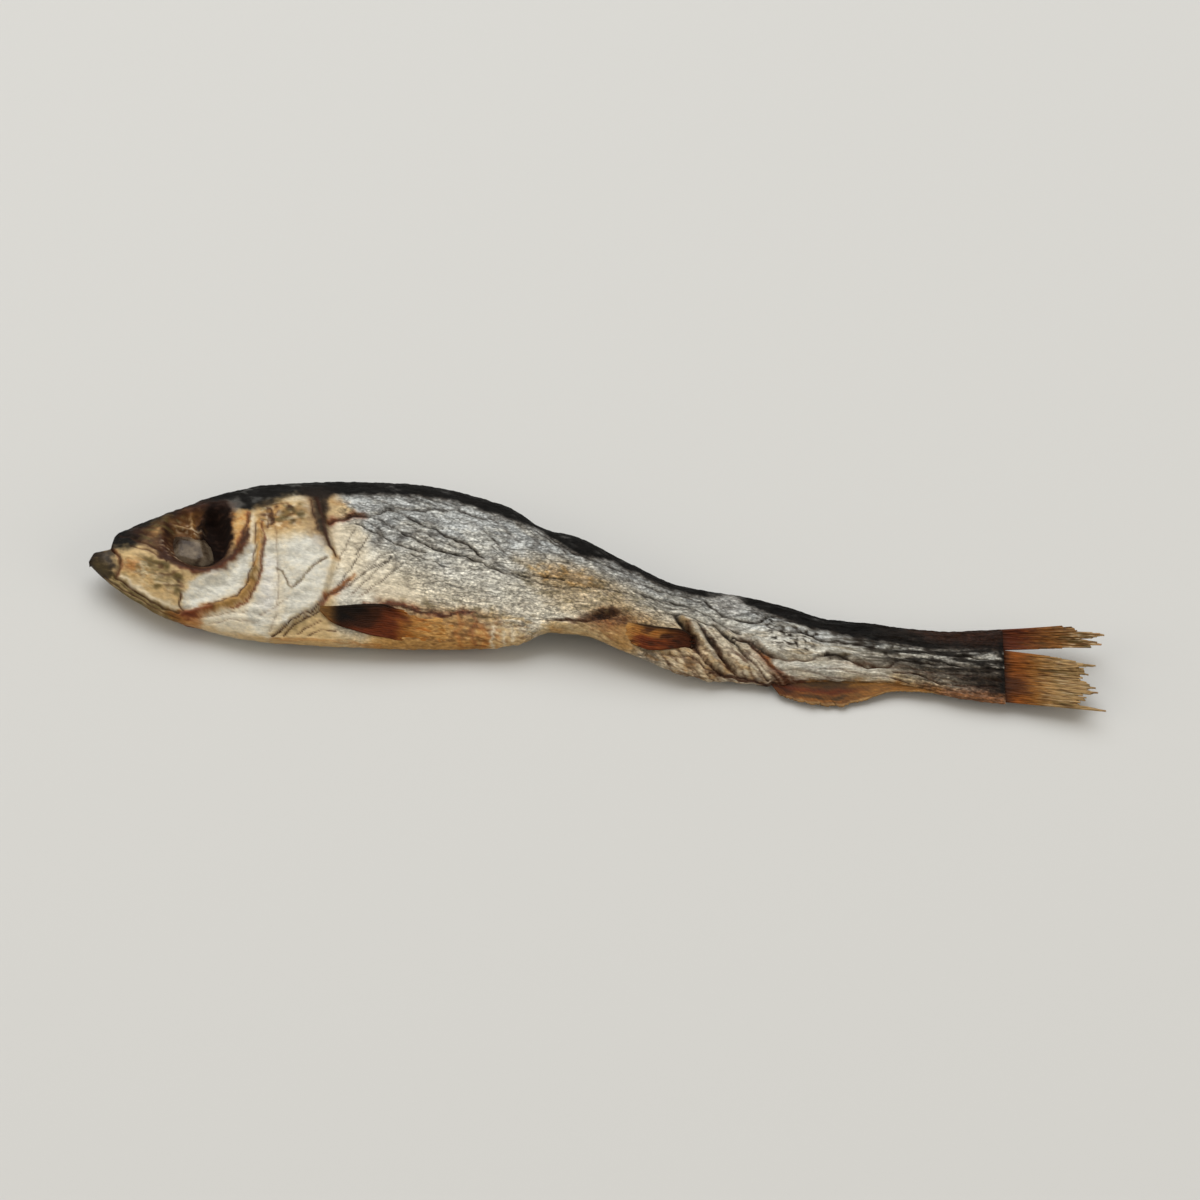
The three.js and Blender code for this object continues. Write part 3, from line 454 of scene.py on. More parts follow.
# Strokes: finish, half width, strength and line.
STROKES = [
    # belly edge and jaws
    ("ochre", 0.40, 0.28, [
        (8, -6), (14, -7.9), (20, -8.8), (26, -8.8), (34, -8.2), (44, -7.2), (52, -6.2), (58, -4),
    ]),
    ("orange", 0.22, 0.35, [(24, -8.6), (28, -8.1), (33, -7.8), (38, -7.8)]),
    ("russet", 0.28, 0.55, [(3.1, 1.8), (4.2, 0.8), (4.35, -0.6), (3.9, -1.8)]),
    ("cream", 0.35, 0.85, [(4.5, -1.9), (7, -3.6), (9.5, -4.9), (12, -5.6)]),
    ("tan", 0.25, 0.60, [(3, -2.6), (6, -4.6), (10, -6.5)]),
    # orbit
    ("tan", 0.20, 0.60, [(11.0, 7.2), (12.2, 7.4), (12.9, 7.1)]),
    ("tan", 0.18, 0.45, [(13.1, 8.4), (13.4, 7.2)]),
    ("umber", 0.55, 0.95, [
        (9.8, 1.9), (12, 1.0), (14, 0.2), (16, 0.5), (17.5, 1.4), (18.6, 2.6), (20, 4.5),
        (20.9, 6.8),
    ]),
    ("russet", 0.20, 0.45, [(12, 0.3), (14, 0.0), (16, 0.3), (17.8, 1.4), (19.2, 3.2), (20.4, 5)]),
    ("russet", 0.22, 0.60, [(19.3, 4.6), (20, 6), (20.5, 8), (20.8, 9.6)]),
    # cheek and gill cover
    ("cream", 0.30, 0.80, [(21.35, 9.4), (21.4, 7.2), (21.3, 5.4)]),
    ("ochre", 0.28, 0.75, [(22.1, 9), (22.3, 6), (22.4, 4.2), (22.1, 2.6), (21.8, 1), (21.3, -0.6)]),
    ("ochre", 0.62, 0.95, [
        (21.3, -0.6), (20.8, -2), (20.0, -3.1), (18.6, -4.0), (17, -4.7), (15.4, -5.4),
    ]),
    ("russet", 0.50, 0.75, [(16.4, -4.9), (15, -5.6), (13.2, -6.3)]),
    ("olive", 0.35, 0.55, [(21.8, 1.4), (21.2, -0.8), (20.4, -2.6), (19, -3.8), (16.6, -4.9)]),
    ("russet", 0.16, 0.75, [
        (22.7, 8.6), (22.9, 5), (22.7, 2), (22.1, -0.6), (21.4, -2.6), (20.2, -4.1), (18.4, -4.9),
    ]),
    ("umber", 0.14, 0.70, [(20.6, -1.2), (19.6, -2.7), (18, -3.7), (16, -4.6)]),
    ("olive", 0.14, 0.55, [
        (31.2, 4.1), (29.5, 2.8), (28.5, 1.3), (27.5, -0.3), (26.5, -1), (26, 0), (25.5, 1.3),
        (24.7, 2),
    ]),
    ("olive", 0.35, 0.45, [(30.2, -4.0), (28, -5.6), (26, -7.6)]),
    ("tan", 0.30, 0.60, [(30.4, -5.6), (28.6, -6.6), (26.8, -8)]),
    # shoulder, belly and arch
    ("russet", 0.50, 0.95, [(31.3, 9.6), (32.4, 10.1), (33.4, 10.6), (34.4, 11.1), (35.6, 11.1)]),
    ("russet", 0.32, 0.75, [(30.4, -2.6), (31.5, -1), (33, 0), (34, 1.4)]),
    ("orange", 0.30, 0.60, [(31.6, -1.2), (33.2, 0.4), (34.6, 2.2)]),
    ("ochre", 0.35, 0.60, [(31.9, 5.4), (32.3, 4.3)]),
    ("russet", 0.30, 0.85, [
        (36, -2.0), (38, -1.7), (40, -1.2), (42, -1.4), (44, -2.2), (46, -2.3), (48, -1.4),
        (50, -1.2),
    ]),
    ("umber", 0.16, 0.80, [(37, -2.1), (40, -1.5), (43, -1.9), (46, -2.2), (48, -1.6)]),
    ("orange", 0.35, 0.45, [(48.0, -1.8), (48.7, -3.0), (47.9, -4.4), (48.5, -6.4)]),
    ("russet", 0.25, 0.45, [(50, -1.2), (50.6, -2.8), (49.8, -4.2), (50.4, -6.0)]),
    ("orange", 0.40, 0.45, [(51.2, -3.2), (52.1, -4.6), (51.5, -6)]),
    ("ochre", 0.40, 0.50, [(60.2, -2.4), (62, -2.8), (65, -3.0), (68, -4)]),
    ("umber", 0.20, 0.80, [(60.8, -0.9), (62.4, -0.75), (64.6, -0.6)]),
    # gill cover again, over the marks above
    ("gold", 0.35, 0.55, [(21.2, -0.8), (20.4, -2.4), (19, -3.7), (17, -4.6)]),
    ("gold", 0.14, 0.60, [(22.1, 8.6), (22.35, 5), (22.1, 2)]),
    ("umber", 0.24, 0.80, [(23.5, 10.6), (23.9, 9.4), (23.7, 8.2)]),
    ("olive", 0.50, 0.60, [(24.8, 9.2), (26.2, 10.4), (27.4, 9.8)]),
    # twisted folds and tail
    ("gold", 0.55, 0.70, [(77, 1.2), (79.4, -1.2), (81.6, -3.6), (83.4, -5.2)]),
    ("cream", 0.40, 0.70, [(79, 0.2), (81.4, -2.6), (84, -5.2)]),
    ("russet", 0.30, 0.60, [(86.2, -1.6), (88, -3.6), (89.6, -5.1)]),
    # painted shadow in the hole between the belly fin and the first fold, and painted shade in the gap
    # beside that fold
    ("umber", 0.50, 0.90, [(77.7, 0.2), (78.5, -1.6), (79, -3)]),
    ("umber", 0.32, 0.85, [(79.6, 0), (81.4, -2.8), (83, -5.2)]),
    ("umber", 0.28, 0.80, [(80.6, -5.9), (83.4, -6.5), (87.6, -6.6), (90, -7.4)]),
    # painted highlight along the first fold
    ("white", 0.38, 0.70, [(77.0, 2.0), (78.6, 0.2), (80.0, -1.8), (81.6, -4.2)]),
    ("umber", 0.35, 0.70, [(84.2, -0.9), (85.6, -0.8), (86.4, -1.4)]),
    # painted highlight on the ridge ahead of the bulge
    ("white", 0.24, 0.80, [(86.5, -0.2), (87.4, -1.2), (88.8, -2.4), (90.2, -2.9)]),
    ("orange", 0.30, 0.70, [(87.2, -2.4), (87.9, -3.4), (88.6, -4)]),
    # painted highlights on the raised tail bulge
    ("white", 0.28, 0.85, [(89.2, 2.2), (91, 2.1), (93, 1.75)]),
    ("white", 0.25, 0.55, [(86.8, 1.4), (88.2, 0.6), (88.4, -0.6)]),
    # painted shade in the two dips under the bulge
    ("soot", 0.38, 0.65, [(95.6, -1.7), (96.8, -1.4), (98.0, -1.7)]),
    ("umber", 0.30, 0.60, [(99.2, -2.3), (101.6, -2.2)]),
    # painted highlights on the ridge above these dips and on the bulge
    ("white", 0.22, 0.80, [(94, -2.1), (95.4, -1.2), (96.8, -0.8), (98.4, -1.0), (100, -1.5)]),
    ("white", 0.20, 0.60, [(96, 0.0), (98, 0.2), (101, -0.3)]),
    ("cream", 0.50, 0.90, [(90.8, -3.8), (92, -4.4), (93.6, -4.8)]),
    ("cream", 0.60, 0.90, [(97.4, -4.2), (99, -3.8), (100.4, -3.6)]),
    # painted highlight on the pale ridge over the anal fin
    ("white", 0.40, 0.80, [(91, -3.4), (93.4, -3.6), (95.6, -4.2)]),
    ("ochre", 0.20, 0.70, [(93, -5.7), (97, -5.5), (101, -5.0), (105, -4.6)]),
    # pleats of the belly
    ("cream", 0.24, 0.80, [(52.6, -3.2), (52.6, -6)]),
    ("cream", 0.24, 0.80, [(53.9, -3.4), (54, -5.6)]),
    ("cream", 0.24, 0.80, [(55.2, -3.0), (55.4, -4.8)]),
    # edge over the anal fin, pale and made lighter still with painted light, and root of the tail fin
    ("pearl", 0.40, 0.60, [(90, -4), (94, -3.6), (99, -3.2), (103, -3.2)]),
    ("black", 0.30, 0.95, [(118.0, 3.2), (118.1, 0), (118.0, -3.9)]),
]
BACK_EDGE = [  # where the black of the back ends, as (x, h)
    (0, 3), (6, 3.6), (10, 7), (13, 9.4), (16, 10.2), (20, 10.2), (24, 11.2), (26, 12.7), (30, 13.4),
    (35, 14.4), (45, 15.2), (50, 14.4), (57, 12.7), (63, 9.6), (64.5, 9), (68, 8.6), (70, 7.7),
    (78, 5.0), (81, 4.8), (83, 5.6), (86, 4.4), (90, 3.1), (94, 2.2), (100, 1.5), (106, 1.3),
    (112, 1.6), (118.3, 2.2),
]

# ---- curves, noise and masks --------------------------------------------------------------


def curve(points):
    """A smooth function through (x, value) points that never overshoots them."""
    xs, ys = (np.array(column, float) for column in zip(*points))
    secants = np.diff(ys) / np.diff(xs)
    slopes = np.zeros(len(xs))
    before, after = secants[:-1], secants[1:]
    turning = before * after <= 0
    total = np.where(turning, 1, before + after)
    slopes[1:-1] = np.where(turning, 0, 2 * before * after / total)
    slopes[0], slopes[-1] = secants[0], secants[-1]

    def at(x):
        i = np.clip(np.searchsorted(xs, x) - 1, 0, len(xs) - 2)
        run = xs[i + 1] - xs[i]
        t = np.clip((x - xs[i]) / run, 0, 1)
        ease = t * t * (3 - 2 * t)
        bend = run * t * (1 - t) * (slopes[i] * (1 - t) - slopes[i + 1] * t)
        return ys[i] * (1 - ease) + ys[i + 1] * ease + bend

    return at


def smoothstep(low, high, x):
    t = np.clip((x - low) / (high - low), 0, 1)
    return t * t * (3 - 2 * t)


def distance_to(line, x, h):
    """Distance from each (x, h) to a line through points."""
    nearest = np.full(np.shape(x), np.inf)
    for (ax, ah), (bx, bh) in zip(line, line[1:]):
        dx, dh = bx - ax, bh - ah
        t = np.clip(((x - ax) * dx + (h - ah) * dh) / (dx * dx + dh * dh), 0, 1)
        nearest = np.minimum(nearest, np.hypot(x - ax - t * dx, h - ah - t * dh))
    return nearest


def near(line, reach, x, h):
    """Which points lie within reach of the box round a line."""
    xs, hs = zip(*line)
    along = (x > min(xs) - reach) & (x < max(xs) + reach)
    return along & (h > min(hs) - reach) & (h < max(hs) + reach)


def ridge(line, width, x, h):
    """1 on a line, falling to nothing at about twice its half width."""
    mask = np.zeros(np.shape(x))
    close = near(line, 3 * width, x, h)
    mask[close] = np.exp(-((distance_to(line, x[close], h[close]) / width) ** 2))
    return mask


def inside(outline, softness, x, h):
    """1 inside a closed outline, falling to nothing across its soft edge."""
    mask = np.zeros(np.shape(x))
    close = near(outline, softness, x, h)
    px, ph = x[close], h[close]
    within = np.zeros(len(px), bool)
    closed = outline + outline[:1]
    for (ax, ah), (bx, bh) in zip(closed, closed[1:]):
        if ah == bh:
            continue
        crosses = (ah > ph) != (bh > ph)
        within ^= crosses & (px < (bx - ax) * (ph - ah) / (bh - ah) + ax)
    edge = distance_to(closed, px, ph)
    mask[close] = smoothstep(-softness, softness, np.where(within, edge, -edge))
    return mask


def noise(x, y, seed):
    """Smooth noise between about -1 and 1, with hills and hollows one unit apart."""
    xi, yi = np.floor(x).astype(np.int64), np.floor(y).astype(np.int64)
    fx, fy = x - xi, y - yi
    ux, uy = (f * f * f * (f * (f * 6 - 15) + 10) for f in (fx, fy))

    def corner(i, j):
        mixed = ((xi + i) * 374761393 + (yi + j) * 668265263 + seed * 974711) & 0xFFFFFFFF
        mixed = ((mixed ^ (mixed >> 13)) * 1274126177) & 0xFFFFFFFF
        turn = (mixed ^ (mixed >> 16)) / 2**32 * 2 * math.pi
        return np.cos(turn) * (fx - i) + np.sin(turn) * (fy - j)

    low = corner(0, 0) * (1 - ux) + corner(1, 0) * ux
    high = corner(0, 1) * (1 - ux) + corner(1, 1) * ux
    return 1.5 * (low * (1 - uy) + high * uy)


def wander(t, seed, row=0.0):
    """A smooth random curve of t: one row of the noise."""
    return noise(t, np.full(np.shape(t), row), seed)


def fractal(x, y, seed, octaves=3):
    total = np.zeros(np.shape(x))
    for octave in range(octaves):
        total += noise(x * 2**octave, y * 2**octave, seed + octave) / 2**octave
    return total


back_at = curve(BACK_LINE)
belly_at = curve(BELLY_LINE)
half_width_at = curve(HALF_WIDTH)
lift_at = curve(LIFT)
keel_taper_at = curve(KEEL_TAPER)
cover_edge_at = curve(COVER_EDGE)
back_edge_at = curve(BACK_EDGE)


def in_oval(oval, x, h):
    """0 in the middle of an oval and 1 on its edge."""
    return np.hypot((x - oval[0]) / oval[2], (h - oval[1]) / oval[3])


def up_the_flank(x, h):
    """0 at the belly and 1 at the back."""
    low, high = belly_at(x), back_at(x)
    return (h - low) / np.maximum(high - low, 0.5)


# ---- relief of the flanks -----------------------------------------------------------------


def broad_relief(x, h):
    """The forms of head and body, in millimetres out of the flank."""
    carved = -SOCKET_DEPTH * (1 - smoothstep(0.62, 1.04, in_oval(SOCKET, x, h)))
    carved -= GAP_DEPTH * (1 - smoothstep(0.55, 1.1, in_oval(EYE_GAP, x, h)))
    front = smoothstep(COVER_FRONT, COVER_FRONT + 6, x)
    behind = smoothstep(-0.1, 0.45, x - cover_edge_at(h))
    carved += COVER_RISE * front * (1 - behind) * (1 - smoothstep(11, 14, h))
    carved += BULGE_RISE * (1 - smoothstep(0.5, 1.1, in_oval(TAIL_BULGE, x, h)))
    for height, width, line in FORMS:
        carved += height * ridge(line, width, x, h)
    return carved


def crease_relief(x, h):
    """How deep each point lies in a crease, and how dark the shade painted into it is."""
    bend_x = x + 0.20 * noise(x / 1.3, h / 1.3, 21) + 0.04 * noise(x / 0.5, h / 0.5, 23)
    bend_h = h + 0.20 * noise(x / 1.3, h / 1.3, 22) + 0.04 * noise(x / 0.5, h / 0.5, 24)
    uneven = np.clip(1.0 + 0.5 * noise(x / 2.1, h / 1.7, 25), 0.6, 1.2)
    depth, groove_shade = np.zeros(len(x)), np.zeros(len(x))
    for deep, width, dark, line in CREASES:
        mask = ridge(line, 0.75 * width, bend_x, bend_h) * uneven
        depth = np.maximum(depth, 0.8 * deep * mask)
        # painted shade along the crease
        groove_shade = np.maximum(groove_shade, dark * ridge(line, 0.6 * width, bend_x, bend_h) * uneven)
        depth -= 0.10 * deep * ridge(line, 2 * width, bend_x, bend_h) * (1 - mask)
    return depth, groove_shade


def wrinkle_lines(along, across, seed, sharpness=0.13):
    """1 on the fine lines where noise changes sign, with gaps in them."""
    hills = noise(along, across, seed)
    step = 0.05
    rise_along = noise(along + step, across, seed) - hills
    rise_across = noise(along, across + step, seed) - hills
    width = sharpness * np.clip(np.hypot(rise_along, rise_across) / (1.5 * step), 0.15, 1.3)
    broken = smoothstep(-0.35, 0.25, noise(along * 0.8, across * 0.5, seed + 1))
    return broken * np.exp(-((hills / width) ** 2))


def along_folds(x, h):
    """Ways along and across the folds that run down and back over the twist."""
    x = x - FOLD_START
    return x * FOLD_RUN - h * FOLD_DROP, x * FOLD_DROP + h * FOLD_RUN


def dried_wrinkles(x, h, girth):
    """Fine wrinkles of the drying skin, in millimetres, and how much shade is painted into them."""
    way = up_the_flank(x, girth)
    body, tail = smoothstep(HEAD_END, HEAD_END + 4.5, x), smoothstep(72, 90, x)
    upper = smoothstep(0.3, 0.6, way)
    across = 15 * way + 0.20 * (x - 40) * (1 - tail)
    across = across + 0.6 * noise(x / 4, girth / 3, 31)
    lines = wrinkle_lines(x / 7.5, across / 1.5, 32)
    lines += 0.7 * wrinkle_lines(x / 3.2, across / 0.8, 34, 0.16)
    lines += 0.35 * wrinkle_lines(x / 1.6, across / 0.45, 36, 0.18)
    strength = body * (0.22 + 0.78 * upper) * (1 - tail) + tail
    strength = strength * (0.75 + 0.4 * np.clip(fractal(x / 8, girth / 5, 38, 2), -0.5, 0.6))
    twist = inside(TWIST, 1.6, x, h)
    u, v = along_folds(x, h)
    v = v + 0.5 * noise(u / 2.2, v / 2.2, 41)
    folds = noise(u / 5.5, v / 1.2, 42) + 0.25 * noise(u / 2.4, v / 0.5, 43)
    fold_lines = wrinkle_lines(u / 5.5, v / 1.2, 44, 0.15)
    # grain of the scale pockets
    grain = body * (0.045 + 0.03 * upper) * noise(x / 0.62, girth / 0.5, 48)
    swell = 0.08 * body * fractal(x / 5.5, across / 1.6, 35) * (0.4 + 0.6 * upper + 1.6 * tail)
    rough_nape = 1 + 1.6 * smoothstep(-0.5, 0.5, h - back_edge_at(x))
    head = (1 - body) * 0.06 * rough_nape * fractal(x / 1.6, girth / 1.3, 37, 4)
    head = head + (1 - body) * 0.14 * fractal(x / 3.4, girth / 2.4, 49, 2)
    pleats = 0.26 * inside(PLEATS, 1.2, x, h) * noise(x / 0.75 + 0.2 * h, h / 4, 45)
    fine = swell + head + grain + pleats - 0.10 * strength * lines * (1 - twist)
    fine += twist * (0.30 * folds - 0.16 * fold_lines)
    # painted shade along the grooves of the wrinkles and folds
    groove_shade = 0.45 * strength * lines * (1 - twist) + twist * 0.6 * fold_lines
    return fine, groove_shade


# ---- the body's sections ------------------------------------------------------------------

SEEN_Y = math.sin(VIEW_ELEVATION) / math.cos(SECTION_SLANT)
SEEN_Z = math.cos(VIEW_ELEVATION)
LEAN_COS, LEAN_SIN = math.cos(FLANK_LEAN), math.sin(FLANK_LEAN)
LEAN_SEEN = SEEN_Y * LEAN_COS + SEEN_Z * LEAN_SIN
WIDTH_SEEN = SEEN_Z * LEAN_COS - SEEN_Y * LEAN_SIN
RISE_PER_HEIGHT = SEEN_SCALE * LEAN_SIN / LEAN_SEEN


def seen_height(y, z):
    """The h at which a point at y and z is seen."""
    return (SEEN_Y * y + SEEN_Z * z) / SEEN_SCALE


def across_for(h, z):
    """The y of a point at z that is seen at h."""
    return (SEEN_SCALE * h - SEEN_Z * z) / SEEN_Y


def to_frame(x, y, z):
    """Fish coordinates in millimetres to the frame's metres."""
    slanted = x - y * math.tan(SECTION_SLANT)
    return np.stack([slanted - ORIGIN[0], y - ORIGIN[1], z], axis=-1) * MM


def section_at(x):
    """Middle (y, z), half depth, half width and keel taper of the sections at x."""
    x = np.asarray(x, float)
    width, taper = half_width_at(x), keel_taper_at(x)
    back = SEEN_SCALE * back_at(x)
    height = back - SEEN_SCALE * belly_at(x)
    depth = height / 2 / LEAN_SEEN
    for _ in range(6):  # closes in on the depth that is seen as high as it should be
        back_reach = np.hypot(LEAN_SEEN * depth, WIDTH_SEEN * width)
        belly_reach = np.hypot(LEAN_SEEN * depth, WIDTH_SEEN * width * (1 - taper))
        depth = depth * height / (back_reach + belly_reach)
    back_reach = np.hypot(LEAN_SEEN * depth, WIDTH_SEEN * width)
    sag = np.hypot(depth * LEAN_SIN, width * (1 - 0.4 * taper) * LEAN_COS)
    z = lift_at(x) - GROUND_PRESS + sag
    y = across_for((back - back_reach) / SEEN_SCALE, z)
    return y, z, depth, width, taper


def bare_skin(x, angle):
    """Section, way up it, half thickness there and seen height on the left flank."""
    y, z, depth, width, taper = section_at(x)
    up = depth * np.cos(angle)
    narrowing = 1 - taper * (1 - np.cos(angle)) / 2
    out = width * narrowing * np.abs(np.sin(angle)) ** FLANK_FLATNESS
    h = seen_height(y + up * LEAN_COS - out * LEAN_SIN, z + up * LEAN_SIN + out * LEAN_COS)
    return y, z, up, out, h


def girth_height(x, angle, h):
    """Seen height that goes on growing over the back and under the belly."""
    turned = half_width_at(x) * (1 - np.abs(np.sin(angle)) ** FLANK_FLATNESS)
    return h + 1.2 * turned * np.sign(np.cos(angle))


def on_skin(x, angle, carved, spread=0.0):
    """Points of the skin, carved out of its bare form and spread away from its middle."""
    y, z, up, out, _ = bare_skin(x, angle)
    up = up + spread
    side = np.where(np.sin(angle) < 0, -1, 1)
    reach = side * np.maximum(out + carved, 0.3 * out)
    raised = np.maximum(z + up * LEAN_SIN + reach * LEAN_COS, 0)
    return to_frame(x, y + up * LEAN_COS - reach * LEAN_SIN, raised)


def angle_for(x, h):
    """The angle round the section at which the left flank is seen at height h."""
    x, h = np.broadcast_arrays(np.asarray(x, float), np.asarray(h, float))
    low, high = (np.full(x.shape, end) for end in FLANK_ANGLES)
    for _ in range(24):
        middle = (low + high) / 2
        above = bare_skin(x, middle)[4] > h
        low, high = np.where(above, middle, low), np.where(above, high, middle)
    return (low + high) / 2


# ---- painting the skin --------------------------------------------------------------------


class Coat:
    """Colour, metal and roughness of every point of the skin, laid on in coats."""

    def __init__(self, count, finish):
        colour, metal, rough = FINISHES[finish]
        self.colour = np.tile(np.array(colour, float), (count, 1))
        self.metal = np.full(count, float(metal))
        self.rough = np.full(count, float(rough))

    def lay(self, finish, mask):
        colour, metal, rough = FINISHES[finish]
        mask = np.clip(mask, 0, 1)
        self.colour += mask[:, None] * (np.array(colour) - self.colour)
        self.metal += mask * (metal - self.metal)
        self.rough += mask * (rough - self.rough)

    def shade(self, factor):
        self.colour = np.clip(self.colour * factor[:, None], 0, 1)

    def linear(self):
        """The colours as the shader takes them."""
        low, high = self.colour / 12.92, ((self.colour + 0.055) / 1.055) ** 2.4
        return np.where(self.colour <= 0.04045, low, high)


def paint_skin(x, h, girth, groove_shade, wrinkle_shade):
    """Colours of the skin at each point, as they are seen from the belly side."""
    way = up_the_flank(x, girth)
    flank, tail = smoothstep(31, 34, x), smoothstep(70, 82, x)
    blotch = fractal(x / 3.2, girth / 2.4, 51)
    fleck = fractal(x / 0.9, girth / 0.6, 52)
    streak = fractal(x / 6, 15 * way, 53)
    coat = Coat(len(x), "tan")
    coat.lay("olive", (1 - flank) * 0.35 * smoothstep(0.0, 0.8, blotch + 0.4 * fleck))
    coat.lay("silver", flank)
    coat.lay("steel", flank * smoothstep(0.45, 0.85, way + 0.14 * blotch))
    coat.lay("pearl", flank * 0.55 * smoothstep(0.10, 0.7, streak + 0.3 * fleck))
    coat.lay("cream", flank * 0.45 * (1 - smoothstep(0.2, 0.55, way + 0.1 * blotch)))
    coat.lay("gold", tail * 0.35 * smoothstep(0.1, 0.8, streak) * (1 - smoothstep(0.4, 0.8, way)))
    rise = h - back_edge_at(x) + 0.30 * noise(x / 2.2, girth / 4, 58) + 0.18 * noise(x / 0.7, girth, 59)
    coat.lay("soot", 0.5 * smoothstep(-0.7, 0.0, rise))
    coat.lay("black", 0.98 * smoothstep(-0.12, 0.2, rise))
    coat.lay("steel", 0.30 * smoothstep(0.2, 0.9, rise) * smoothstep(0.35, 1.0, blotch + 0.3 * fleck))
    dusk = smoothstep(94, 106, x) * smoothstep(0.25, 0.5, way)
    coat.lay("black", 0.80 * dusk * smoothstep(-0.25, 0.35, streak + 0.25 * fleck))
    edge_x = x + 0.35 * noise(x / 1.3, girth / 1.3, 54) + 0.16 * noise(x / 0.45, girth / 0.45, 55)
    edge_h = h + 0.35 * noise(x / 1.3, girth / 1.3, 56) + 0.16 * noise(x / 0.45, girth / 0.45, 57)
    for finish, softness, strength, outline in PATCHES:
        mask = inside(outline, 1.3 * softness, edge_x, edge_h)
        coat.lay(finish, strength * mask * (1 - 0.3 * np.clip(fleck + 0.3 * blotch, 0, 1)))
    for seed, (finish, size, strength, outline) in enumerate(MOTTLES, 90):
        spots = fractal(x / size, girth / size / 0.7, seed, 2)
        coat.lay(finish, strength * inside(outline, 0.8, edge_x, edge_h) * smoothstep(-0.1, 0.6, spots))
    u, v = along_folds(edge_x, edge_h)
    twist = inside(TWIST, 1.2, x, h)
    fibres = fractal(u / 3.5, v / 0.45, 46)
    coat.lay("umber", 0.50 * twist * smoothstep(0.1, 0.7, fibres))
    coat.lay("cream", 0.45 * twist * smoothstep(0.1, 0.7, -fibres))
    for finish, width, strength, line in STROKES:
        coat.lay(finish, strength * ridge(line, width, edge_x, edge_h))
    turned = (girth - h) / (1.2 * half_width_at(x))
    coat.lay("black", smoothstep(0.55, 0.8, turned) * (1 - smoothstep(94, 104, x)))
    coat.shade(1 + 0.12 * fleck + 0.06 * blotch)
    # Painted shade in the creases and wrinkles: sooty on the silver flank, brown on the head and belly.
    brown = np.maximum(1 - flank, 1 - smoothstep(0.28, 0.42, way))
    painted_shade = np.maximum(groove_shade, np.clip(wrinkle_shade, 0, 0.45) * (1 - 0.4 * smoothstep(0, 1, rise)))
    coat.lay("soot", np.clip(painted_shade, 0, 1) * (1 - brown))
    coat.lay("umber", np.clip(painted_shade, 0, 1) * brown)
    # painted light: lightens the edge over the anal fin, which faces away from the lamps
    coat.lay("pearl", 0.45 * inside(LIP, 0.6, edge_x, edge_h))
    return coat


# ---- Blender helpers ----------------------------------------------------------------------


def mesh_from(bm, name):
    mesh = bpy.data.meshes.new(name)
    bm.to_mesh(mesh)
    bm.free()
    return mesh


def points_of(mesh):
    flat = np.empty(3 * len(mesh.vertices))
    mesh.vertices.foreach_get("co", flat)
    return flat.reshape(-1, 3)


def grid_mesh(name, columns, rows):
    """A grid of quads with its own unwrap, and the column and row of each of its points."""
    bm = bmesh.new()
    bm.loops.layers.uv.new("OFBake")
    bmesh.ops.create_grid(bm, x_segments=columns, y_segments=rows, size=0.5, calc_uvs=True)
    mesh = mesh_from(bm, name)
    across, up, _ = (points_of(mesh) + 0.5).T
    return mesh, np.rint(across * columns).astype(int), np.rint(up * rows).astype(int)


def store(mesh, name, values):
    """Keeps three numbers a point as a colour attribute that materials read."""
    attribute = mesh.color_attributes.new(name=name, type="FLOAT_COLOR", domain="POINT")
    full = np.ones((len(mesh.vertices), 4))
    full[:, :3] = values
    attribute.data.foreach_set("color", full.ravel())


def finish_mesh(mesh, points, merge=True):
    """Puts the points in place, closes seams and poles, and turns the faces outwards."""
    mesh.vertices.foreach_set("co", points.ravel())
    bm = bmesh.new()
    bm.from_mesh(mesh)
    if merge:
        bmesh.ops.remove_doubles(bm, verts=bm.verts, dist=2e-6)
        bmesh.ops.dissolve_degenerate(bm, edges=bm.edges, dist=1e-7)
        bmesh.ops.recalc_face_normals(bm, faces=bm.faces)
    for face in bm.faces:
        face.smooth = True
    bm.to_mesh(mesh)
    bm.free()
    mesh.update()


def add_piece(name, mesh, material, thickness=0.0):
    """Puts a finished mesh in the scene as a piece of the fish."""
    piece = bpy.data.objects.new(name, mesh)
    bpy.context.scene.collection.objects.link(piece)
    mesh.materials.append(material)
    if thickness:
        wall = piece.modifiers.new("Thickness", "SOLIDIFY")
        wall.thickness = thickness
        wall.offset = 0
    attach(piece, "root")
    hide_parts("herring")


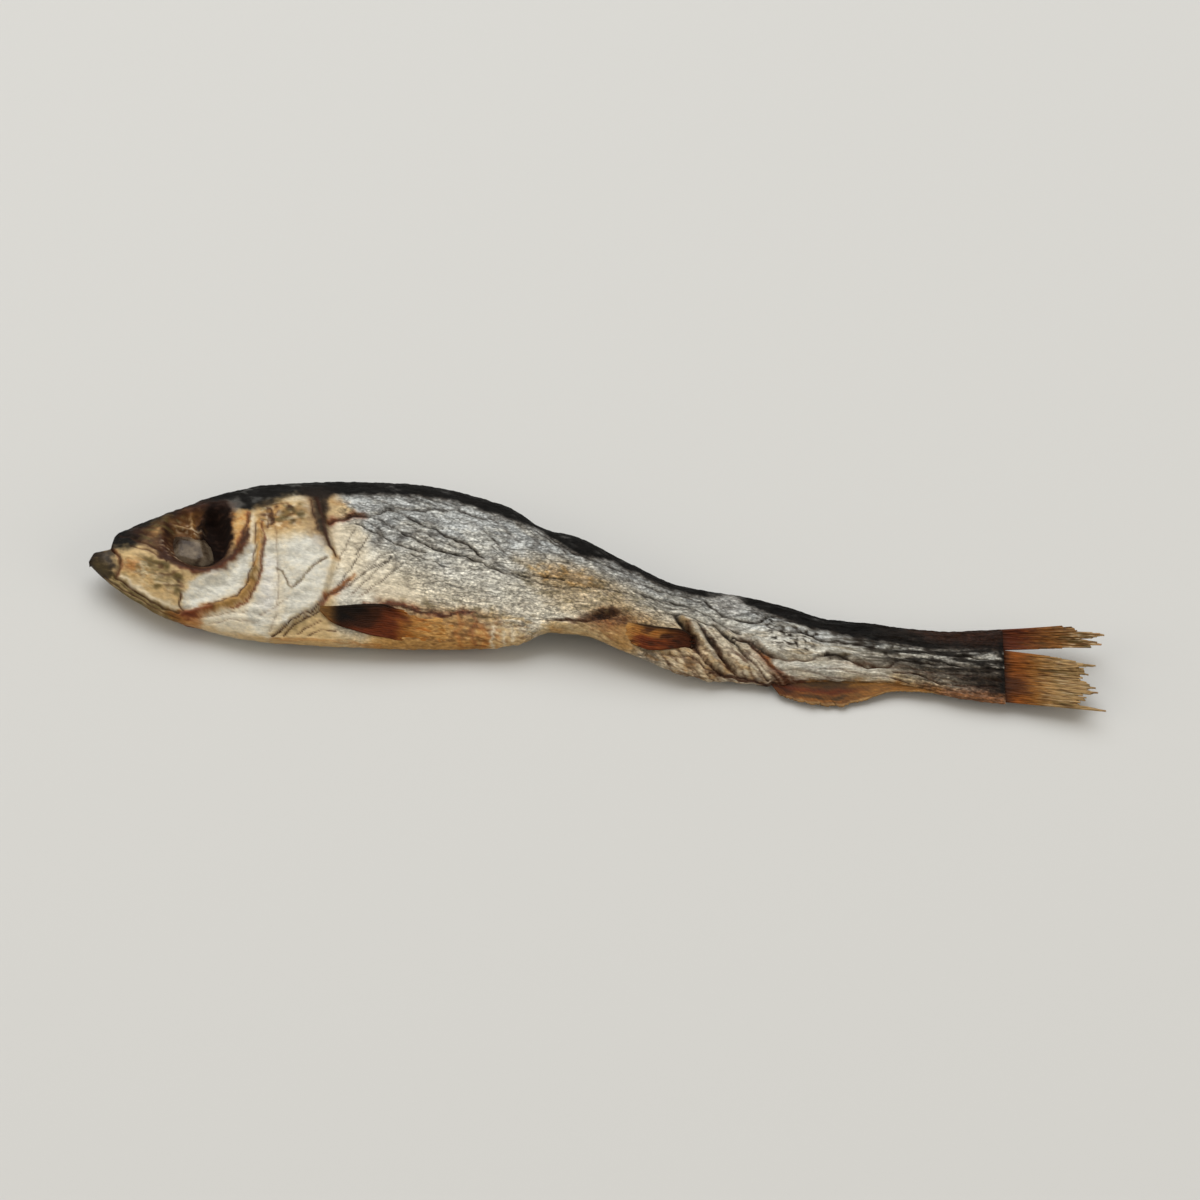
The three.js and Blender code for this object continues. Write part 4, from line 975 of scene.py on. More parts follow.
class Shader:
    """A new material, and short calls for the nodes in it."""

    def __init__(self, name):
        self.material = bpy.data.materials.new(name)
        self.material.use_nodes = True
        self.nodes = self.material.node_tree.nodes
        self.links = self.material.node_tree.links
        self.principled = self.nodes["Principled BSDF"]

    def node(self, kind, inputs=None, **settings):
        node = self.nodes.new(kind)
        for key, value in settings.items():
            setattr(node, key, value)
        for key, value in (inputs or {}).items():
            self.set(node.inputs[key], value)
        return node

    def set(self, socket, value):
        if isinstance(value, bpy.types.NodeSocket):
            self.links.new(value, socket)
        else:
            socket.default_value = value

    def math(self, operation, a, b=0.0, clamp=False):
        node = self.node("ShaderNodeMath", {0: a, 1: b}, operation=operation, use_clamp=clamp)
        return node.outputs[0]

    def mix(self, factor, a, b, blend="MIX"):
        node = self.node("ShaderNodeMix", data_type="RGBA", blend_type=blend)
        for key, value in ((0, factor), (6, a), (7, b)):
            self.set(node.inputs[key], value)
        return node.outputs[2]

    def spread(self, value, low, high, to_low=0.0, to_high=1.0):
        inputs = {0: value, 1: low, 2: high, 3: to_low, 4: to_high}
        return self.node("ShaderNodeMapRange", inputs).outputs[0]

    def place(self, stretch, turn=0):
        """Places on the piece, turned by degrees about z and stretched."""
        place = self.node("ShaderNodeTexCoord").outputs["Object"]
        inputs = {"Vector": place, "Rotation": (0, 0, math.radians(turn)), "Scale": stretch}
        return self.node("ShaderNodeMapping", inputs).outputs[0]

    def object_noise(self, scale, detail, stretch=(1, 1, 1), turn=0, rough=0.55):
        """Noise fixed to the piece; scale is in hills to the metre."""
        place = self.place(stretch, turn)
        inputs = {"Vector": place, "Scale": scale, "Detail": detail, "Roughness": rough}
        return self.node("ShaderNodeTexNoise", inputs).outputs["Fac"]

    def threads(self, scale, width, turn, stretch):
        """1 on thin wandering lines that run along the turned x of the piece."""
        hills = self.object_noise(scale, 3, stretch, turn, 0.5)
        away = self.math("ABSOLUTE", self.math("SUBTRACT", hills, 0.5))
        return self.spread(away, 0.0, width, 1.0, 0.0)

    def cells(self, scale, stretch):
        """How far each place is from the middle of its cell."""
        inputs = {"Vector": self.place(stretch), "Scale": scale}
        return self.node("ShaderNodeTexVoronoi", inputs).outputs[0]

    def stored(self, name):
        return self.node("ShaderNodeAttribute", attribute_name=name)

    def bump(self, height, depth, strength, normal=None):
        """Bump of that depth in millimetres."""
        inputs = {"Height": height, "Distance": depth * MM, "Strength": strength}
        if normal is not None:
            inputs["Normal"] = normal
        return self.node("ShaderNodeBump", inputs).outputs[0]


def skin_material():
    shader = Shader("dried_skin")
    colour = shader.stored("skin_colour").outputs["Color"]
    parts = shader.node("ShaderNodeSeparateColor", {0: shader.stored("skin_finish").outputs["Color"]})
    metal, rough, grain = parts.outputs
    fine = shader.object_noise(3600, 4, (0.7, 1, 1))
    coarse = shader.object_noise(1100, 4, (0.6, 1.2, 1))
    pits = shader.cells(2600, (0.8, 1.1, 1))
    long_threads = shader.threads(620, 0.035, 14, (0.28, 1.2, 1.2))
    short_threads = shader.threads(1150, 0.055, 24, (0.45, 1.1, 1.1))
    threads = shader.math("MAXIMUM", long_threads, shader.math("MULTIPLY", short_threads, 0.8))
    light = shader.spread(fine, 0.32, 0.68, 0.55, 1.42)
    speckled = shader.mix(grain, colour, shader.mix(1.0, colour, light, "MULTIPLY"))
    pitted = shader.spread(pits, 0.0, 0.6, 1.12, 0.62)
    shaded = shader.mix(grain, speckled, shader.mix(1.0, speckled, pitted, "MULTIPLY"))
    # painted shade: darker along the fine threads, which the bump below presses in as grooves
    thread_shade = shader.spread(threads, 0.0, 1.0, 1.05, 0.50)
    shaded = shader.mix(grain, shaded, shader.mix(1.0, shaded, thread_shade, "MULTIPLY"))
    bsdf = shader.principled.inputs
    shader.set(bsdf["Base Color"], shaded)
    shader.set(bsdf["Metallic"], metal)
    uneven = shader.spread(coarse, 0.3, 0.7, -0.1, 0.12)
    shader.set(bsdf["Roughness"], shader.math("ADD", rough, uneven, True))
    shader.set(bsdf["Specular IOR Level"], shader.spread(rough, 0.30, 0.50, 0.42, 0.12))
    grooves = shader.math("MULTIPLY", threads, shader.math("MULTIPLY", grain, -1.0))
    deep = shader.bump(coarse, 0.14, 0.5, shader.bump(grooves, 0.07, 0.8))
    shader.set(bsdf["Normal"], shader.bump(fine, 0.06, 0.6, deep))
    return shader.material


def fin_material(name, light_through):
    """Dry skin between fin rays: painted, with a little light coming through."""
    shader = Shader(name)
    colour = shader.stored("skin_colour").outputs["Color"]
    fine = shader.object_noise(2400, 4, (0.4, 1.6, 1))
    light = shader.spread(fine, 0.3, 0.7, 0.66, 1.36)
    shaded = shader.mix(1.0, colour, light, "MULTIPLY")
    bsdf = shader.principled.inputs
    shader.set(bsdf["Base Color"], shaded)
    shader.set(bsdf["Roughness"], shader.spread(fine, 0.3, 0.7, 0.46, 0.66))
    shader.set(bsdf["Normal"], shader.bump(fine, 0.06, 0.5))
    bsdf["Specular IOR Level"].default_value = 0.08
    bsdf["Transmission Weight"].default_value = light_through
    return shader.material


def eye_material():
    shader = Shader("dried_eye")
    cloudy = shader.object_noise(520, 3)
    fine = shader.object_noise(2600, 2)
    dark, milky = (0.036, 0.022, 0.013, 1), (0.175, 0.135, 0.09, 1)
    colour = shader.mix(shader.spread(cloudy, 0.40, 0.66), dark, milky)
    bsdf = shader.principled.inputs
    shader.set(bsdf["Base Color"], colour)
    shader.set(bsdf["Roughness"], shader.spread(fine, 0.3, 0.7, 0.22, 0.42))
    bsdf["Coat Weight"].default_value = 0.06
    bsdf["Coat Roughness"].default_value = 0.2
    bsdf["Specular IOR Level"].default_value = 0.2
    shader.set(bsdf["Normal"], shader.bump(cloudy, 0.2, 0.5))
    return shader.material


# ---- settings -----------------------------------------------------------------------------


class HerringSettings(bpy.types.PropertyGroup):
    """Sizes of the fish and the colour of the surface under it"""

    wrinkle_depth: FloatProperty(
        name="Wrinkle Depth", description="Depth of the fine wrinkles against the real ones",
        default=1.0, min=0.0, max=2.0, subtype="FACTOR",
    )
    crease_depth: FloatProperty(
        name="Crease Depth", description="Depth of the long creases against the real ones",
        default=1.0, min=0.0, max=2.0, subtype="FACTOR",
    )
    fin_thickness: FloatProperty(
        name="Fin Thickness", description="Thickness of the skin between the rays of a fin",
        default=0.0002, min=0.00005, max=0.001, unit="LENGTH",
    )
    floor_colour: FloatVectorProperty(
        name="Floor Colour", description="Colour of the surface the fish lies on",
        default=(0.60, 0.615, 0.615), size=3, min=0, max=1, subtype="COLOR",
    )
    skin_rows: IntProperty(
        name="Skin Rows", description="Rows of faces round the fish", default=180, min=60, max=180,
    )


# ---- pieces -------------------------------------------------------------------------------

SKIN_STRETCHES = [  # start and end along the fish, and how many columns lie between
    (0, 2.6, 14), (2.6, 3.4, 14), (3.4, 33, 150), (33, 62, 150), (62, BODY_LENGTH, 210),
]
LEFT_SHARE = 0.72  # share of the rows that lies on the flank that faces up
EDGE_SPREAD = 0.2  # how far the rows are drawn away from the edges of back and belly


def skin_stations():
    """Places of the columns along the fish; the first and last close its ends."""
    xs = [np.zeros(2)]
    for start, end, steps in SKIN_STRETCHES:
        xs.append(np.linspace(start, end, steps + 1)[1:])
    return np.concatenate([*xs, [BODY_LENGTH]])


def skin_angles(rows):
    """Angles of the rows round the fish, closer together on the flank that faces up."""
    left = round(LEFT_SHARE * rows)
    up_side = np.linspace(0, math.pi, left + 1)
    under_side = np.linspace(math.pi, 2 * math.pi, rows - left + 1)
    turns = np.concatenate([up_side, under_side[1:]])
    return turns + EDGE_SPREAD * np.sin(2 * turns)


def ragged_edge(x, angle):
    """How far the edges of back and belly wander, in millimetres."""
    near_edge = 1 - smoothstep(0.15, 0.7, np.abs(np.sin(angle)))
    frayed = inside(TWIST, 2, x, np.full(len(x), -6.0)) * (np.cos(angle) < 0)
    fine = 0.09 * fractal(x / 1.3, 2.5 * np.cos(angle) + 6 * np.sin(angle), 64)
    coarse = 0.26 * fractal(x / 2.1, np.cos(angle), 67)
    return near_edge * smoothstep(2, 6, x) * (fine + frayed * coarse)


class OBJECT_OT_herring_skin(bpy.types.Operator):
    """Add the skin of head and body, with its folds, creases and colours"""

    bl_idname = "object.herring_skin"
    bl_label = "Add Skin"

    def execute(self, context):
        settings = context.scene.herring
        stations, angles = skin_stations(), skin_angles(settings.skin_rows)
        columns, rows = len(stations) - 1, len(angles) - 1
        mesh, column, row = grid_mesh("skin", columns, rows)
        x, angle = stations[column], angles[row]
        h = bare_skin(x, angle)[4]
        girth = girth_height(x, angle, h)
        creased, groove_shade = crease_relief(x, h)
        fine, wrinkle_shade = dried_wrinkles(x, h, girth)
        wide = np.abs(np.sin(angle))
        carved = broad_relief(x, h) * smoothstep(0.1, 0.5, wide)
        carved -= settings.crease_depth * creased * smoothstep(0.05, 0.35, wide)
        carved += settings.wrinkle_depth * fine * smoothstep(-0.1, 0.2, wide)
        points = on_skin(x, angle, carved, ragged_edge(x, angle))
        closing = (column == 0) | (column == columns)
        y, z = section_at(x)[:2]
        points[closing] = to_frame(x, y, z)[closing]
        coat = paint_skin(x, h, girth, groove_shade, wrinkle_shade)
        smooth_skin = np.zeros(len(x))
        for share, outline in SMOOTH_SKIN:
            smooth_skin = np.maximum(smooth_skin, share * inside(outline, 1.6, x, h))
        grain = 0.16 + 0.84 * smoothstep(HEAD_END, HEAD_END + 2.5, x) * (1 - smooth_skin)
        store(mesh, "skin_colour", coat.linear())
        store(mesh, "skin_finish", np.stack([coat.metal, coat.rough, grain], axis=1))
        finish_mesh(mesh, points)
        add_piece("skin", mesh, skin_material())
        return {"FINISHED"}


# Flat faces of the shrunken eyeball: direction they face and how far out they lie.
EYE_FACETS = [
    ((0.12, 0.06, 0.99), 0.58), ((-0.78, 0.12, 0.62), 0.70), ((0.05, 0.82, 0.57), 0.74),
    ((-0.10, -0.80, 0.60), 0.80), ((0.88, 0.20, 0.44), 0.64), ((0.55, -0.60, 0.58), 0.80),
]
EYE = (13.3, 3.9, 3.25, 2.6, 1.5)  # seen x and h of its middle, and its radii
EYE_DEPTH = 1.95  # how far its middle lies under the bare flank
FACET_PRESS = 0.86  # share of what stood out past a facet that is pressed in


class OBJECT_OT_herring_eyes(bpy.types.Operator):
    """Add the two eyeballs, shrunken in their sockets"""

    bl_idname = "object.herring_eyes"
    bl_label = "Add Eyes"

    def execute(self, context):
        material = eye_material()
        for name, side in (("left_eye", 1), ("right_eye", -1)):
            add_piece(name, eyeball(name, side), material)
        return {"FINISHED"}


def eyeball(name, side):
    bm = bmesh.new()
    bmesh.ops.create_uvsphere(bm, u_segments=64, v_segments=40, radius=1, calc_uvs=True)
    mesh = mesh_from(bm, name)
    ball = points_of(mesh)
    ball *= 1 + 0.08 * fractal(2.2 * ball[:, 0] + 9, 2.2 * ball[:, 1] + 5 * ball[:, 2], 61)[:, None]
    for facing, reach in EYE_FACETS:
        facing = np.array(facing) / np.linalg.norm(facing)
        beyond = np.maximum(ball @ facing - reach, 0)
        ball = ball - FACET_PRESS * beyond[:, None] * facing
    x, h, wide, high, deep = EYE
    angle = angle_for(x, h)
    y, z, up, out, _ = bare_skin(x, angle)
    reach = side * (out - EYE_DEPTH + deep * ball[:, 2])
    up = up + high * ball[:, 1]
    points = to_frame(x + wide * ball[:, 0], y + up * LEAN_COS - reach * LEAN_SIN,
                      np.maximum(z + up * LEAN_SIN + reach * LEAN_COS, 0))
    finish_mesh(mesh, points)
    return mesh


# ---- fins ---------------------------------------------------------------------------------


class RayFin:
    """A sheet of skin stiffened by rays, from a grid of (way out, ray) points."""

    def __init__(self, name, steps, rays, per_ray=4):
        self.name = name
        self.rays = rays
        self.mesh, column, row = grid_mesh(name, steps, rays * per_ray)
        self.out = column / steps
        self.place = row / per_ray  # counts the rays; a whole number is the middle of one
        self.way = self.place / rays
        self.crest = np.cos(2 * math.pi * self.place) * 0.5 + 0.5

    def build(self, points, coat, material, thickness):
        store(self.mesh, "skin_colour", coat.linear())
        finish_mesh(self.mesh, points, merge=False)
        add_piece(self.name, self.mesh, material, thickness)


def lying_on_flank(x, h, rise):
    """Points that lie a little above the left flank, seen at x and h."""
    angle = angle_for(x, h)
    return on_skin(x, angle, broad_relief(x, h) * smoothstep(0.1, 0.5, np.sin(angle)) + rise)


class OBJECT_OT_herring_side_fins(bpy.types.Operator):
    """Add the breast fin and the belly fin, dried flat on the flank"""

    bl_idname = "object.herring_side_fins"
    bl_label = "Add Side Fins"

    def execute(self, context):
        material = fin_material("side_fin_skin", 0.0)
        thickness = context.scene.herring.fin_thickness
        breast_fin(material, thickness)
        belly_fin(material, thickness)
        return {"FINISHED"}


BREAST_FIN = (30.4, 18.0)  # x of the root, and length; the same for the belly fin
breast_fin_top_at = curve([(30.4, -3.2), (35, -2.5), (40, -2.1), (46, -2.2), (49.5, -3.2)])
breast_fin_foot_at = curve([
    (30.4, -3.8), (32, -5.3), (34, -6.0), (37, -6.5), (42, -6.6), (49.5, -5.6),
])
BELLY_FIN = (68.2, 9.9)
belly_fin_top_at = curve([(68.2, 0.1), (70, -0.1), (74, -0.5), (77, -0.7), (79, -1.6)])
belly_fin_foot_at = curve([
    (68.2, -0.5), (69.4, -1.8), (70.8, -3.3), (72.6, -4.0), (74.4, -3.7), (76.4, -3.1),
    (79, -2.5),
])


def breast_fin(material, thickness):
    fin = RayFin("breast_fin", 90, 15)
    ragged = 1.6 * wander(fin.place * 1.3, 71) + noise(fin.place * 3, fin.out, 72)
    root, length = BREAST_FIN
    x = root + fin.out * (length + ragged)
    h = breast_fin_foot_at(x) + (breast_fin_top_at(x) - breast_fin_foot_at(x)) * fin.way
    h = h + 0.25 * noise(x / 1.8, 3 * fin.way, 70) * smoothstep(0.35, 0.6, fin.out)
    flat = smoothstep(0.40, 0.65, fin.out)  # the outer half has dried onto the skin
    wave = 0.25 * np.sin(9 * fin.out + 4 * fin.way) + 0.3 * smoothstep(0.6, 1, fin.way)
    rise = 0.04 + (1 - flat) * (0.24 + wave * smoothstep(0, 0.3, fin.out))
    rise = rise + 0.07 * fin.crest * (1 - 0.7 * flat)
    rim = 1 - smoothstep(0, 0.25, fin.way) * (1 - smoothstep(0.72, 1, fin.way))
    rim = np.maximum(rim, smoothstep(0.78, 1, fin.out)) + 0.5 * noise(x / 1.2, h / 1.2, 74)
    rise = rise - 0.26 * flat * np.clip(rim, 0, 1)
    coat = Coat(len(x), "black")
    mottle = fractal(x / 2.5, h / 1.1, 73)
    spots = fractal(x / 0.8, h / 0.6, 68)
    near_foot = 1 - fin.way
    coat.lay("soot", 0.5 + 0.3 * mottle)
    coat.lay("umber", 0.9 * smoothstep(34.5, 38, x + 0.6 * mottle + 6 * near_foot ** 2))
    coat.lay("russet", 0.8 * smoothstep(37.8, 40.4, x + 0.7 * mottle + 5 * near_foot ** 2))
    coat.lay("ochre", 0.9 * smoothstep(39.9, 42.6, x + 0.8 * mottle + 0.5 * near_foot))
    coat.lay("gold", 0.95 * smoothstep(41.0, 44.5, x + mottle) * smoothstep(-0.7, 0.2, spots))
    coat.lay("orange", 0.65 * smoothstep(0.0, 0.6, mottle) * smoothstep(39, 42, x))
    coat.lay("umber", 0.35 * smoothstep(0.1, 0.6, spots) * smoothstep(39, 42, x))
    coat.lay("umber", 0.12 * (1 - fin.crest))
    coat.lay("soot", 0.8 * smoothstep(0.86, 1, fin.way) * (1 - smoothstep(38, 42, x)))
    coat.lay("ochre", 0.6 * (1 - smoothstep(31.2, 33.2, x)))
    fin.build(lying_on_flank(x, h, rise), coat, material, thickness)


def belly_fin(material, thickness):
    fin = RayFin("belly_fin", 60, 10)
    root, length = BELLY_FIN
    x = root + fin.out * (length + 0.9 * wander(fin.place * 1.3, 75))
    h = belly_fin_foot_at(x) + (belly_fin_top_at(x) - belly_fin_foot_at(x)) * fin.way
    free = smoothstep(0.08, 0.4, fin.out + 0.08 * noise(2 * fin.way, 3 * fin.out, 74))
    rise = -0.25 + free * (0.47 + 0.18 * np.sin(5 * fin.out + 3 * fin.way))
    rise = rise + 0.08 * fin.crest + 0.3 * smoothstep(0.7, 1, fin.way) * fin.out
    coat = Coat(len(x), "russet")
    mottle = fractal(x / 2, h / 0.8, 76)
    upper_half = smoothstep(0.45, 0.6, fin.way + 0.10 * mottle)
    coat.lay("ochre", 0.80 * upper_half * (1 - smoothstep(74, 78, x)))
    coat.lay("umber", 0.70 * (smoothstep(0.0, 0.6, mottle) + smoothstep(73.5, 77, x)))
    coat.lay("orange", 0.45 * smoothstep(0.1, 0.7, -mottle) * (1 - smoothstep(73, 77, x)))
    coat.lay("ochre", 0.85 * (1 - smoothstep(69.4, 72.0, x + 0.8 * mottle)))
    coat.lay("gold", 0.70 * (1 - smoothstep(68.8, 71.2, x + 0.8 * mottle)))
    coat.lay("soot", 0.20 * (1 - fin.crest))
    coat.lay("soot", 0.85 * smoothstep(0.84, 1, fin.way) * smoothstep(70, 72, x))
    fin.build(lying_on_flank(x, h, rise), coat, material, thickness)


ANAL_FIN = [  # x, h of the root and h of the edge
    (86.5, -5.2, -6.6), (89.5, -5.4, -8.2), (92, -5.2, -8.8), (95, -4.8, -9.1), (98, -4.5, -8.5),
    (101, -4.3, -7.2), (104, -4.1, -5.8), (108, -4.1, -5.4), (112, -4.4, -5.4), (115, -4.6, -5.0),
]
ANAL_FIN_SWEEP = 3  # how far its rays lean towards the tail
anal_root_at = curve([(x, root) for x, root, _ in ANAL_FIN])
anal_edge_at = curve([(x, edge) for x, _, edge in ANAL_FIN])


def keel_height(x):
    """Height over the floor at which the anal fin leaves the body."""
    _, z, depth, _, _ = section_at(x)
    return z - 0.8 * depth * LEAN_SIN


class OBJECT_OT_herring_anal_fin(bpy.types.Operator):
    """Add the long low fin under the tail"""

    bl_idname = "object.herring_anal_fin"
    bl_label = "Add Anal Fin"

    def execute(self, context):
        fin = RayFin("anal_fin", 24, 44, 5)
        start, end = ANAL_FIN[0][0], ANAL_FIN[-1][0]
        foot = start + fin.way * (end - start - ANAL_FIN_SWEEP)
        x = foot + ANAL_FIN_SWEEP * fin.out
        torn = 0.09 * wander(fin.place * 0.4, 77) + 0.04 * wander(fin.place * 2.3, 69)
        root, edge = anal_root_at(foot), anal_edge_at(x)
        h = root + (edge - root) * fin.out * (1 + torn)
        z = keel_height(x) + 0.16 * (h - root) + 0.05 * np.sin(1.3 * x)
        z = z + (0.03 * fin.crest + 0.10 * noise(x / 3.5, h / 3, 78)) * smoothstep(0, 0.3, fin.out)
        coat = Coat(len(x), "umber")
        mottle = 0.4 * fractal(x / 2.6, h / 0.6, 79)
        stripe = fractal(x / 7, 7 * fin.out, 75)
        right = smoothstep(97, 102, x)
        coat.lay("olive", 0.50 * smoothstep(90, 93, x))
        coat.lay("ochre", 0.60 * smoothstep(0.0, 0.5, stripe) * smoothstep(89, 93, x))
        band = np.exp(-(((fin.out - 0.52) / 0.12) ** 2))
        coat.lay("russet", 0.85 * band * (1 - 0.7 * right))
        coat.lay("orange", 0.38 * smoothstep(0.66, 0.78, fin.out + 0.3 * mottle))
        coat.lay("ochre", 0.60 * right * (1 - smoothstep(108, 111, x)))
        coat.lay("tan", 0.45 * smoothstep(0.88, 0.97, fin.out + 0.2 * mottle))
        coat.lay("umber", 0.10 * (1 - fin.crest))
        points = to_frame(x, across_for(h, z), np.maximum(z, 0.05))
        material = fin_material("anal_fin_skin", 0.12)
        fin.build(points, coat, material, context.scene.herring.fin_thickness)
        return {"FINISHED"}


# Lobes of the tail fin: h of the root at both sides, number of rays, how far out the skin
# between the rays is whole, and the tips of the rays in order.
TAIL_ROOT = 117.2
TAIL_LOBES = {
    "upper_tail_fin": (4.85, 2.0, 30, 0.42, [
        (126.0, 6.6), (127.4, 6.5), (127.6, 6.2), (129.2, 6.0), (131.2, 6.0), (130.2, 5.5),
        (126.4, 5.0), (130.6, 4.9), (130.2, 4.5), (129.0, 4.1), (126.0, 3.6), (124.6, 3.2),
        (122.0, 2.8),
    ]),
    "lower_tail_fin": (2.0, -5.4, 60, 0.50, [
        (124.0, 1.9), (127.0, 1.6), (129.7, 1.3), (127.4, 0.9), (128.4, 0.1), (127.8, -0.6),
        (128.9, -1.3), (129.6, -2.1), (128.8, -2.8), (127.6, -3.5), (128.0, -4.1), (127.2, -4.6),
        (131.0, -5.1),
    ]),
}


class OBJECT_OT_herring_tail_fin(bpy.types.Operator):
    """Add the two ragged lobes of the tail fin"""

    bl_idname = "object.herring_tail_fin"
    bl_label = "Add Tail Fin"

    def execute(self, context):
        material = fin_material("tail_fin_skin", 0.15)
        for seed, (name, lobe) in enumerate(TAIL_LOBES.items()):
            tail_lobe(name, lobe, 80 + 10 * seed, material, context.scene.herring.fin_thickness)
        return {"FINISHED"}


def tail_lobe(name, lobe, seed, material, thickness):
    top, bottom, rays, whole, tips = lobe
    fin = RayFin(name, 46, rays)
    tip_way = np.linspace(0, 1, len(tips))
    nearest = np.rint(fin.place)
    length = np.interp(nearest / rays, tip_way, [x for x, _ in tips])
    bundle = 0.7 * wander(nearest * 0.23, seed, 3) + 1.7 * wander(nearest * 1.37, seed)
    length = length + bundle * (nearest > 0) * (nearest < rays)
    tip_h = np.interp(nearest / rays, tip_way, [h for _, h in tips])
    tip_h = tip_h + 0.30 * wander(nearest * 1.61, seed, 7)
    aside = (fin.place - nearest) / rays  # from the middle of the nearest ray
    spread = abs(tips[0][1] - tips[-1][1])
    whole_way = aside * ((top - bottom) * (1 - fin.out) + spread * fin.out)
    slender = np.clip(whole_way, -1, 1) * (1 - 0.88 * smoothstep(whole, 1, fin.out))
    root_h = top + (bottom - top) * nearest / rays
    x = TAIL_ROOT + fin.out * (length - TAIL_ROOT)
    h = root_h + (tip_h - root_h) * fin.out ** 1.1 - slender
    free = smoothstep(0, 0.2, fin.out)
    waves = 0.25 * np.sin(1.3 * h) + 0.12 * noise(x / 3, nearest / 1.5, seed + 1)
    y, middle = section_at(TAIL_ROOT)[:2]
    z = middle + (h - seen_height(y, middle)) * RISE_PER_HEIGHT
    z = z + 0.06 * (x - TAIL_ROOT) + free * (waves + 0.10 * fin.crest)
    points = to_frame(x, across_for(h, z), np.maximum(z, 0.1))
    coat = tail_coat(name, fin, x, h, seed)
    fin.build(points, coat, material, thickness)


def tail_coat(name, fin, x, h, seed):
    coat = Coat(len(x), "umber")
    mottle = 0.5 * fractal(x / 3.5, h / 0.35, seed + 3, 4)
    dashes = fractal(x / 2.6, h / 0.22, seed + 5, 2)
    if name == "upper_tail_fin":
        coat.lay("russet", 0.90 * smoothstep(117, 119.5, x + 2 * mottle))
        coat.lay("ochre", 0.75 * smoothstep(119.5, 125, x + 5 * mottle))
        coat.lay("tan", 0.6 * smoothstep(124, 130, x + 4 * mottle))
        coat.lay("cream", 0.8 * smoothstep(125, 128, x + 2 * mottle) * smoothstep(-0.1, 0.5, dashes))
        coat.lay("orange", 0.5 * smoothstep(0.3, 0.8, dashes) * smoothstep(118, 121, x))
    else:
        coat.lay("orange", 0.9 * smoothstep(117.8, 119.6, x + mottle))
        coat.lay("ochre", 0.85 * smoothstep(119.6, 123, x + 2 * mottle))
        coat.lay("tan", 0.75 * smoothstep(121.6, 126.0, x + 3 * mottle))
        dark_root = (1 - smoothstep(119.6, 121.8, x + mottle)) * (1 - smoothstep(-2.4, -1.0, h))
        coat.lay("umber", 0.70 * dark_root * smoothstep(-4.6, -3.6, h))
        coat.lay("cream", 0.45 * smoothstep(0.2, 0.7, dashes) * smoothstep(121, 125, x))
    coat.lay("umber", 0.70 * smoothstep(0.1, 0.6, mottle) * (1 - smoothstep(121, 128, x)))
    coat.lay("olive", 0.75 * smoothstep(0.0, 0.45, -mottle) * smoothstep(120, 124, x))
    coat.lay("umber", 0.35 * smoothstep(0.1, 0.6, -dashes))
    coat.lay("umber", 0.20 * (1 - fin.crest))
    return coat


# The stage is laid out in metres.
WARM = (1, 0.91, 0.79)
LIGHTS = [  # place, size, power and colour
    ("window", (-0.20, 0.50, 1.0), 1.3, 12.2, (1, 1, 1)),
    ("head_side", (-0.95, -0.30, 0.42), 0.7, 3.2, WARM),
    ("tail_side", (0.95, -0.30, 0.42), 0.7, 3.2, WARM),
]
ROOM_STRENGTH = 0.35
VIEW_DISTANCE = 0.76
VIEW_TARGET = (0, -0.0005, 0.003)
LENS = 178
FLOOR_SIZE = 6  # from its middle to its edge
FLOOR_DROP = 0.00005  # keeps the floor clear of the skin that lies on it


class OBJECT_OT_herring_stage(bpy.types.Operator):
    """Add the surface that the fish lies on, the light and the camera"""

    bl_idname = "object.herring_stage"
    bl_label = "Add Stage"

    def execute(self, context):
        scene = context.scene
        add_floor(scene.herring.floor_colour)
        add_lights()
        add_camera()
        scene.view_settings.view_transform = "Standard"
        return {"FINISHED"}


def add_floor(colour):
    bm = bmesh.new()
    bmesh.ops.create_grid(bm, x_segments=2, y_segments=2, size=FLOOR_SIZE)
    bmesh.ops.translate(bm, verts=bm.verts, vec=(0, 0, -FLOOR_DROP))
    mesh = mesh_from(bm, "floor")
    floor = bpy.data.objects.new("floor", mesh)
    bpy.context.scene.collection.objects.link(floor)
    shader = Shader("pale_sweep")
    bsdf = shader.principled.inputs
    bsdf["Base Color"].default_value = (*colour, 1)
    bsdf["Roughness"].default_value = 0.85
    bsdf["Specular IOR Level"].default_value = 0.2
    mesh.materials.append(shader.material)


def aim(thing, target):
    direction = Vector(target) - thing.location
    thing.rotation_euler = direction.to_track_quat("-Z", "Y").to_euler()


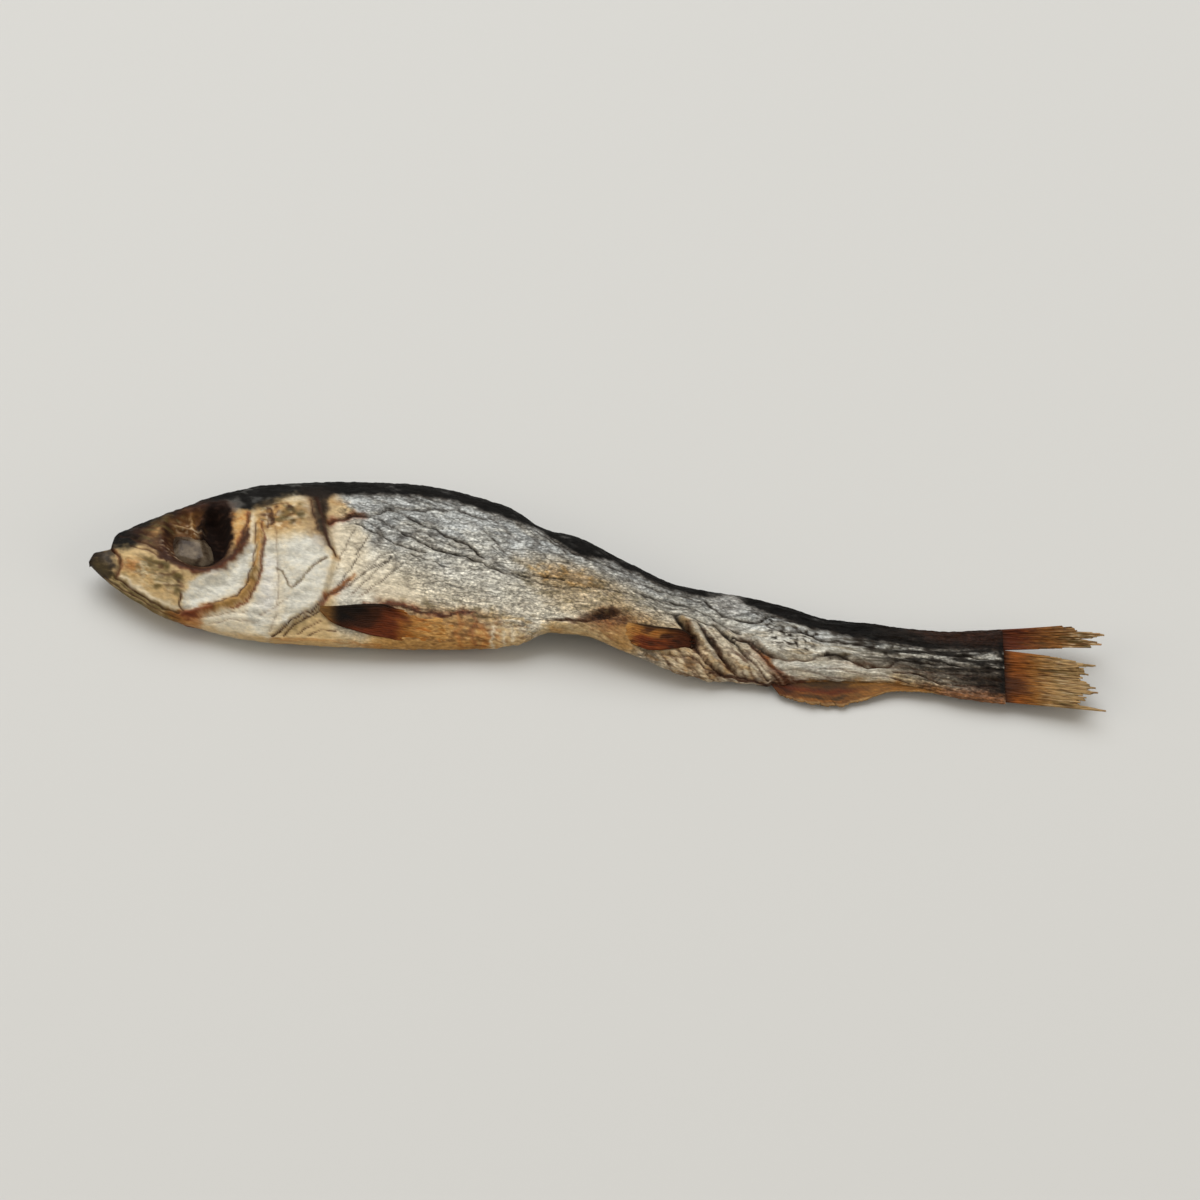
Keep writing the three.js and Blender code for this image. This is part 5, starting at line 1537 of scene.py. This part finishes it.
def add_lights():
    for name, place, size, power, tint in LIGHTS:
        light = bpy.data.lights.new(name, "AREA")
        light.shape = "SQUARE"
        light.size = size
        light.energy = power
        light.color = tint
        lamp = bpy.data.objects.new(name, light)
        bpy.context.scene.collection.objects.link(lamp)
        lamp.location = place
        aim(lamp, (0, 0, 0))
    world = bpy.data.worlds.new("studio")
    world.use_nodes = True
    room = world.node_tree.nodes["Background"].inputs
    room["Color"].default_value = (*WARM, 1)
    room["Strength"].default_value = ROOM_STRENGTH
    bpy.context.scene.world = world


def add_camera():
    data = bpy.data.cameras.new("camera")
    data.lens = LENS
    camera = bpy.data.objects.new("camera", data)
    scene = bpy.context.scene
    scene.collection.objects.link(camera)
    away = Vector((
        math.sin(VIEW_AZIMUTH) * math.cos(VIEW_ELEVATION),
        -math.cos(VIEW_AZIMUTH) * math.cos(VIEW_ELEVATION),
        math.sin(VIEW_ELEVATION),
    ))
    camera.location = Vector(VIEW_TARGET) + VIEW_DISTANCE * away
    aim(camera, VIEW_TARGET)
    data.clip_start, data.clip_end = 0.01, 20
    scene.camera = camera


class VIEW3D_PT_herring(bpy.types.Panel):
    """Sizes and pieces of the dried herring, and the colour of the floor"""

    bl_idname = "VIEW3D_PT_herring"
    bl_label = "Dried Herring"
    bl_space_type = "VIEW_3D"
    bl_region_type = "UI"
    bl_category = "Herring"

    def draw(self, context):
        settings = context.scene.herring
        for name in ("wrinkle_depth", "crease_depth", "fin_thickness", "skin_rows", "floor_colour"):
            self.layout.prop(settings, name)
        for operator in OPERATORS:
            self.layout.operator(operator.bl_idname)


OPERATORS = (
    OBJECT_OT_herring_skin,
    OBJECT_OT_herring_eyes,
    OBJECT_OT_herring_side_fins,
    OBJECT_OT_herring_anal_fin,
    OBJECT_OT_herring_tail_fin,
    OBJECT_OT_herring_stage,
)
CLASSES = (HerringSettings, *OPERATORS, VIEW3D_PT_herring)


def register():
    for cls in CLASSES:
        bpy.utils.register_class(cls)
    bpy.types.Scene.herring = PointerProperty(type=HerringSettings)


def unregister():
    del bpy.types.Scene.herring
    for cls in reversed(CLASSES):
        bpy.utils.unregister_class(cls)


def main():
    register()
    bpy.ops.object.herring_skin()
    bpy.ops.object.herring_eyes()
    bpy.ops.object.herring_side_fins()
    bpy.ops.object.herring_anal_fin()
    bpy.ops.object.herring_tail_fin()
    bpy.ops.object.herring_stage()


if __name__ == "__main__":
    main()
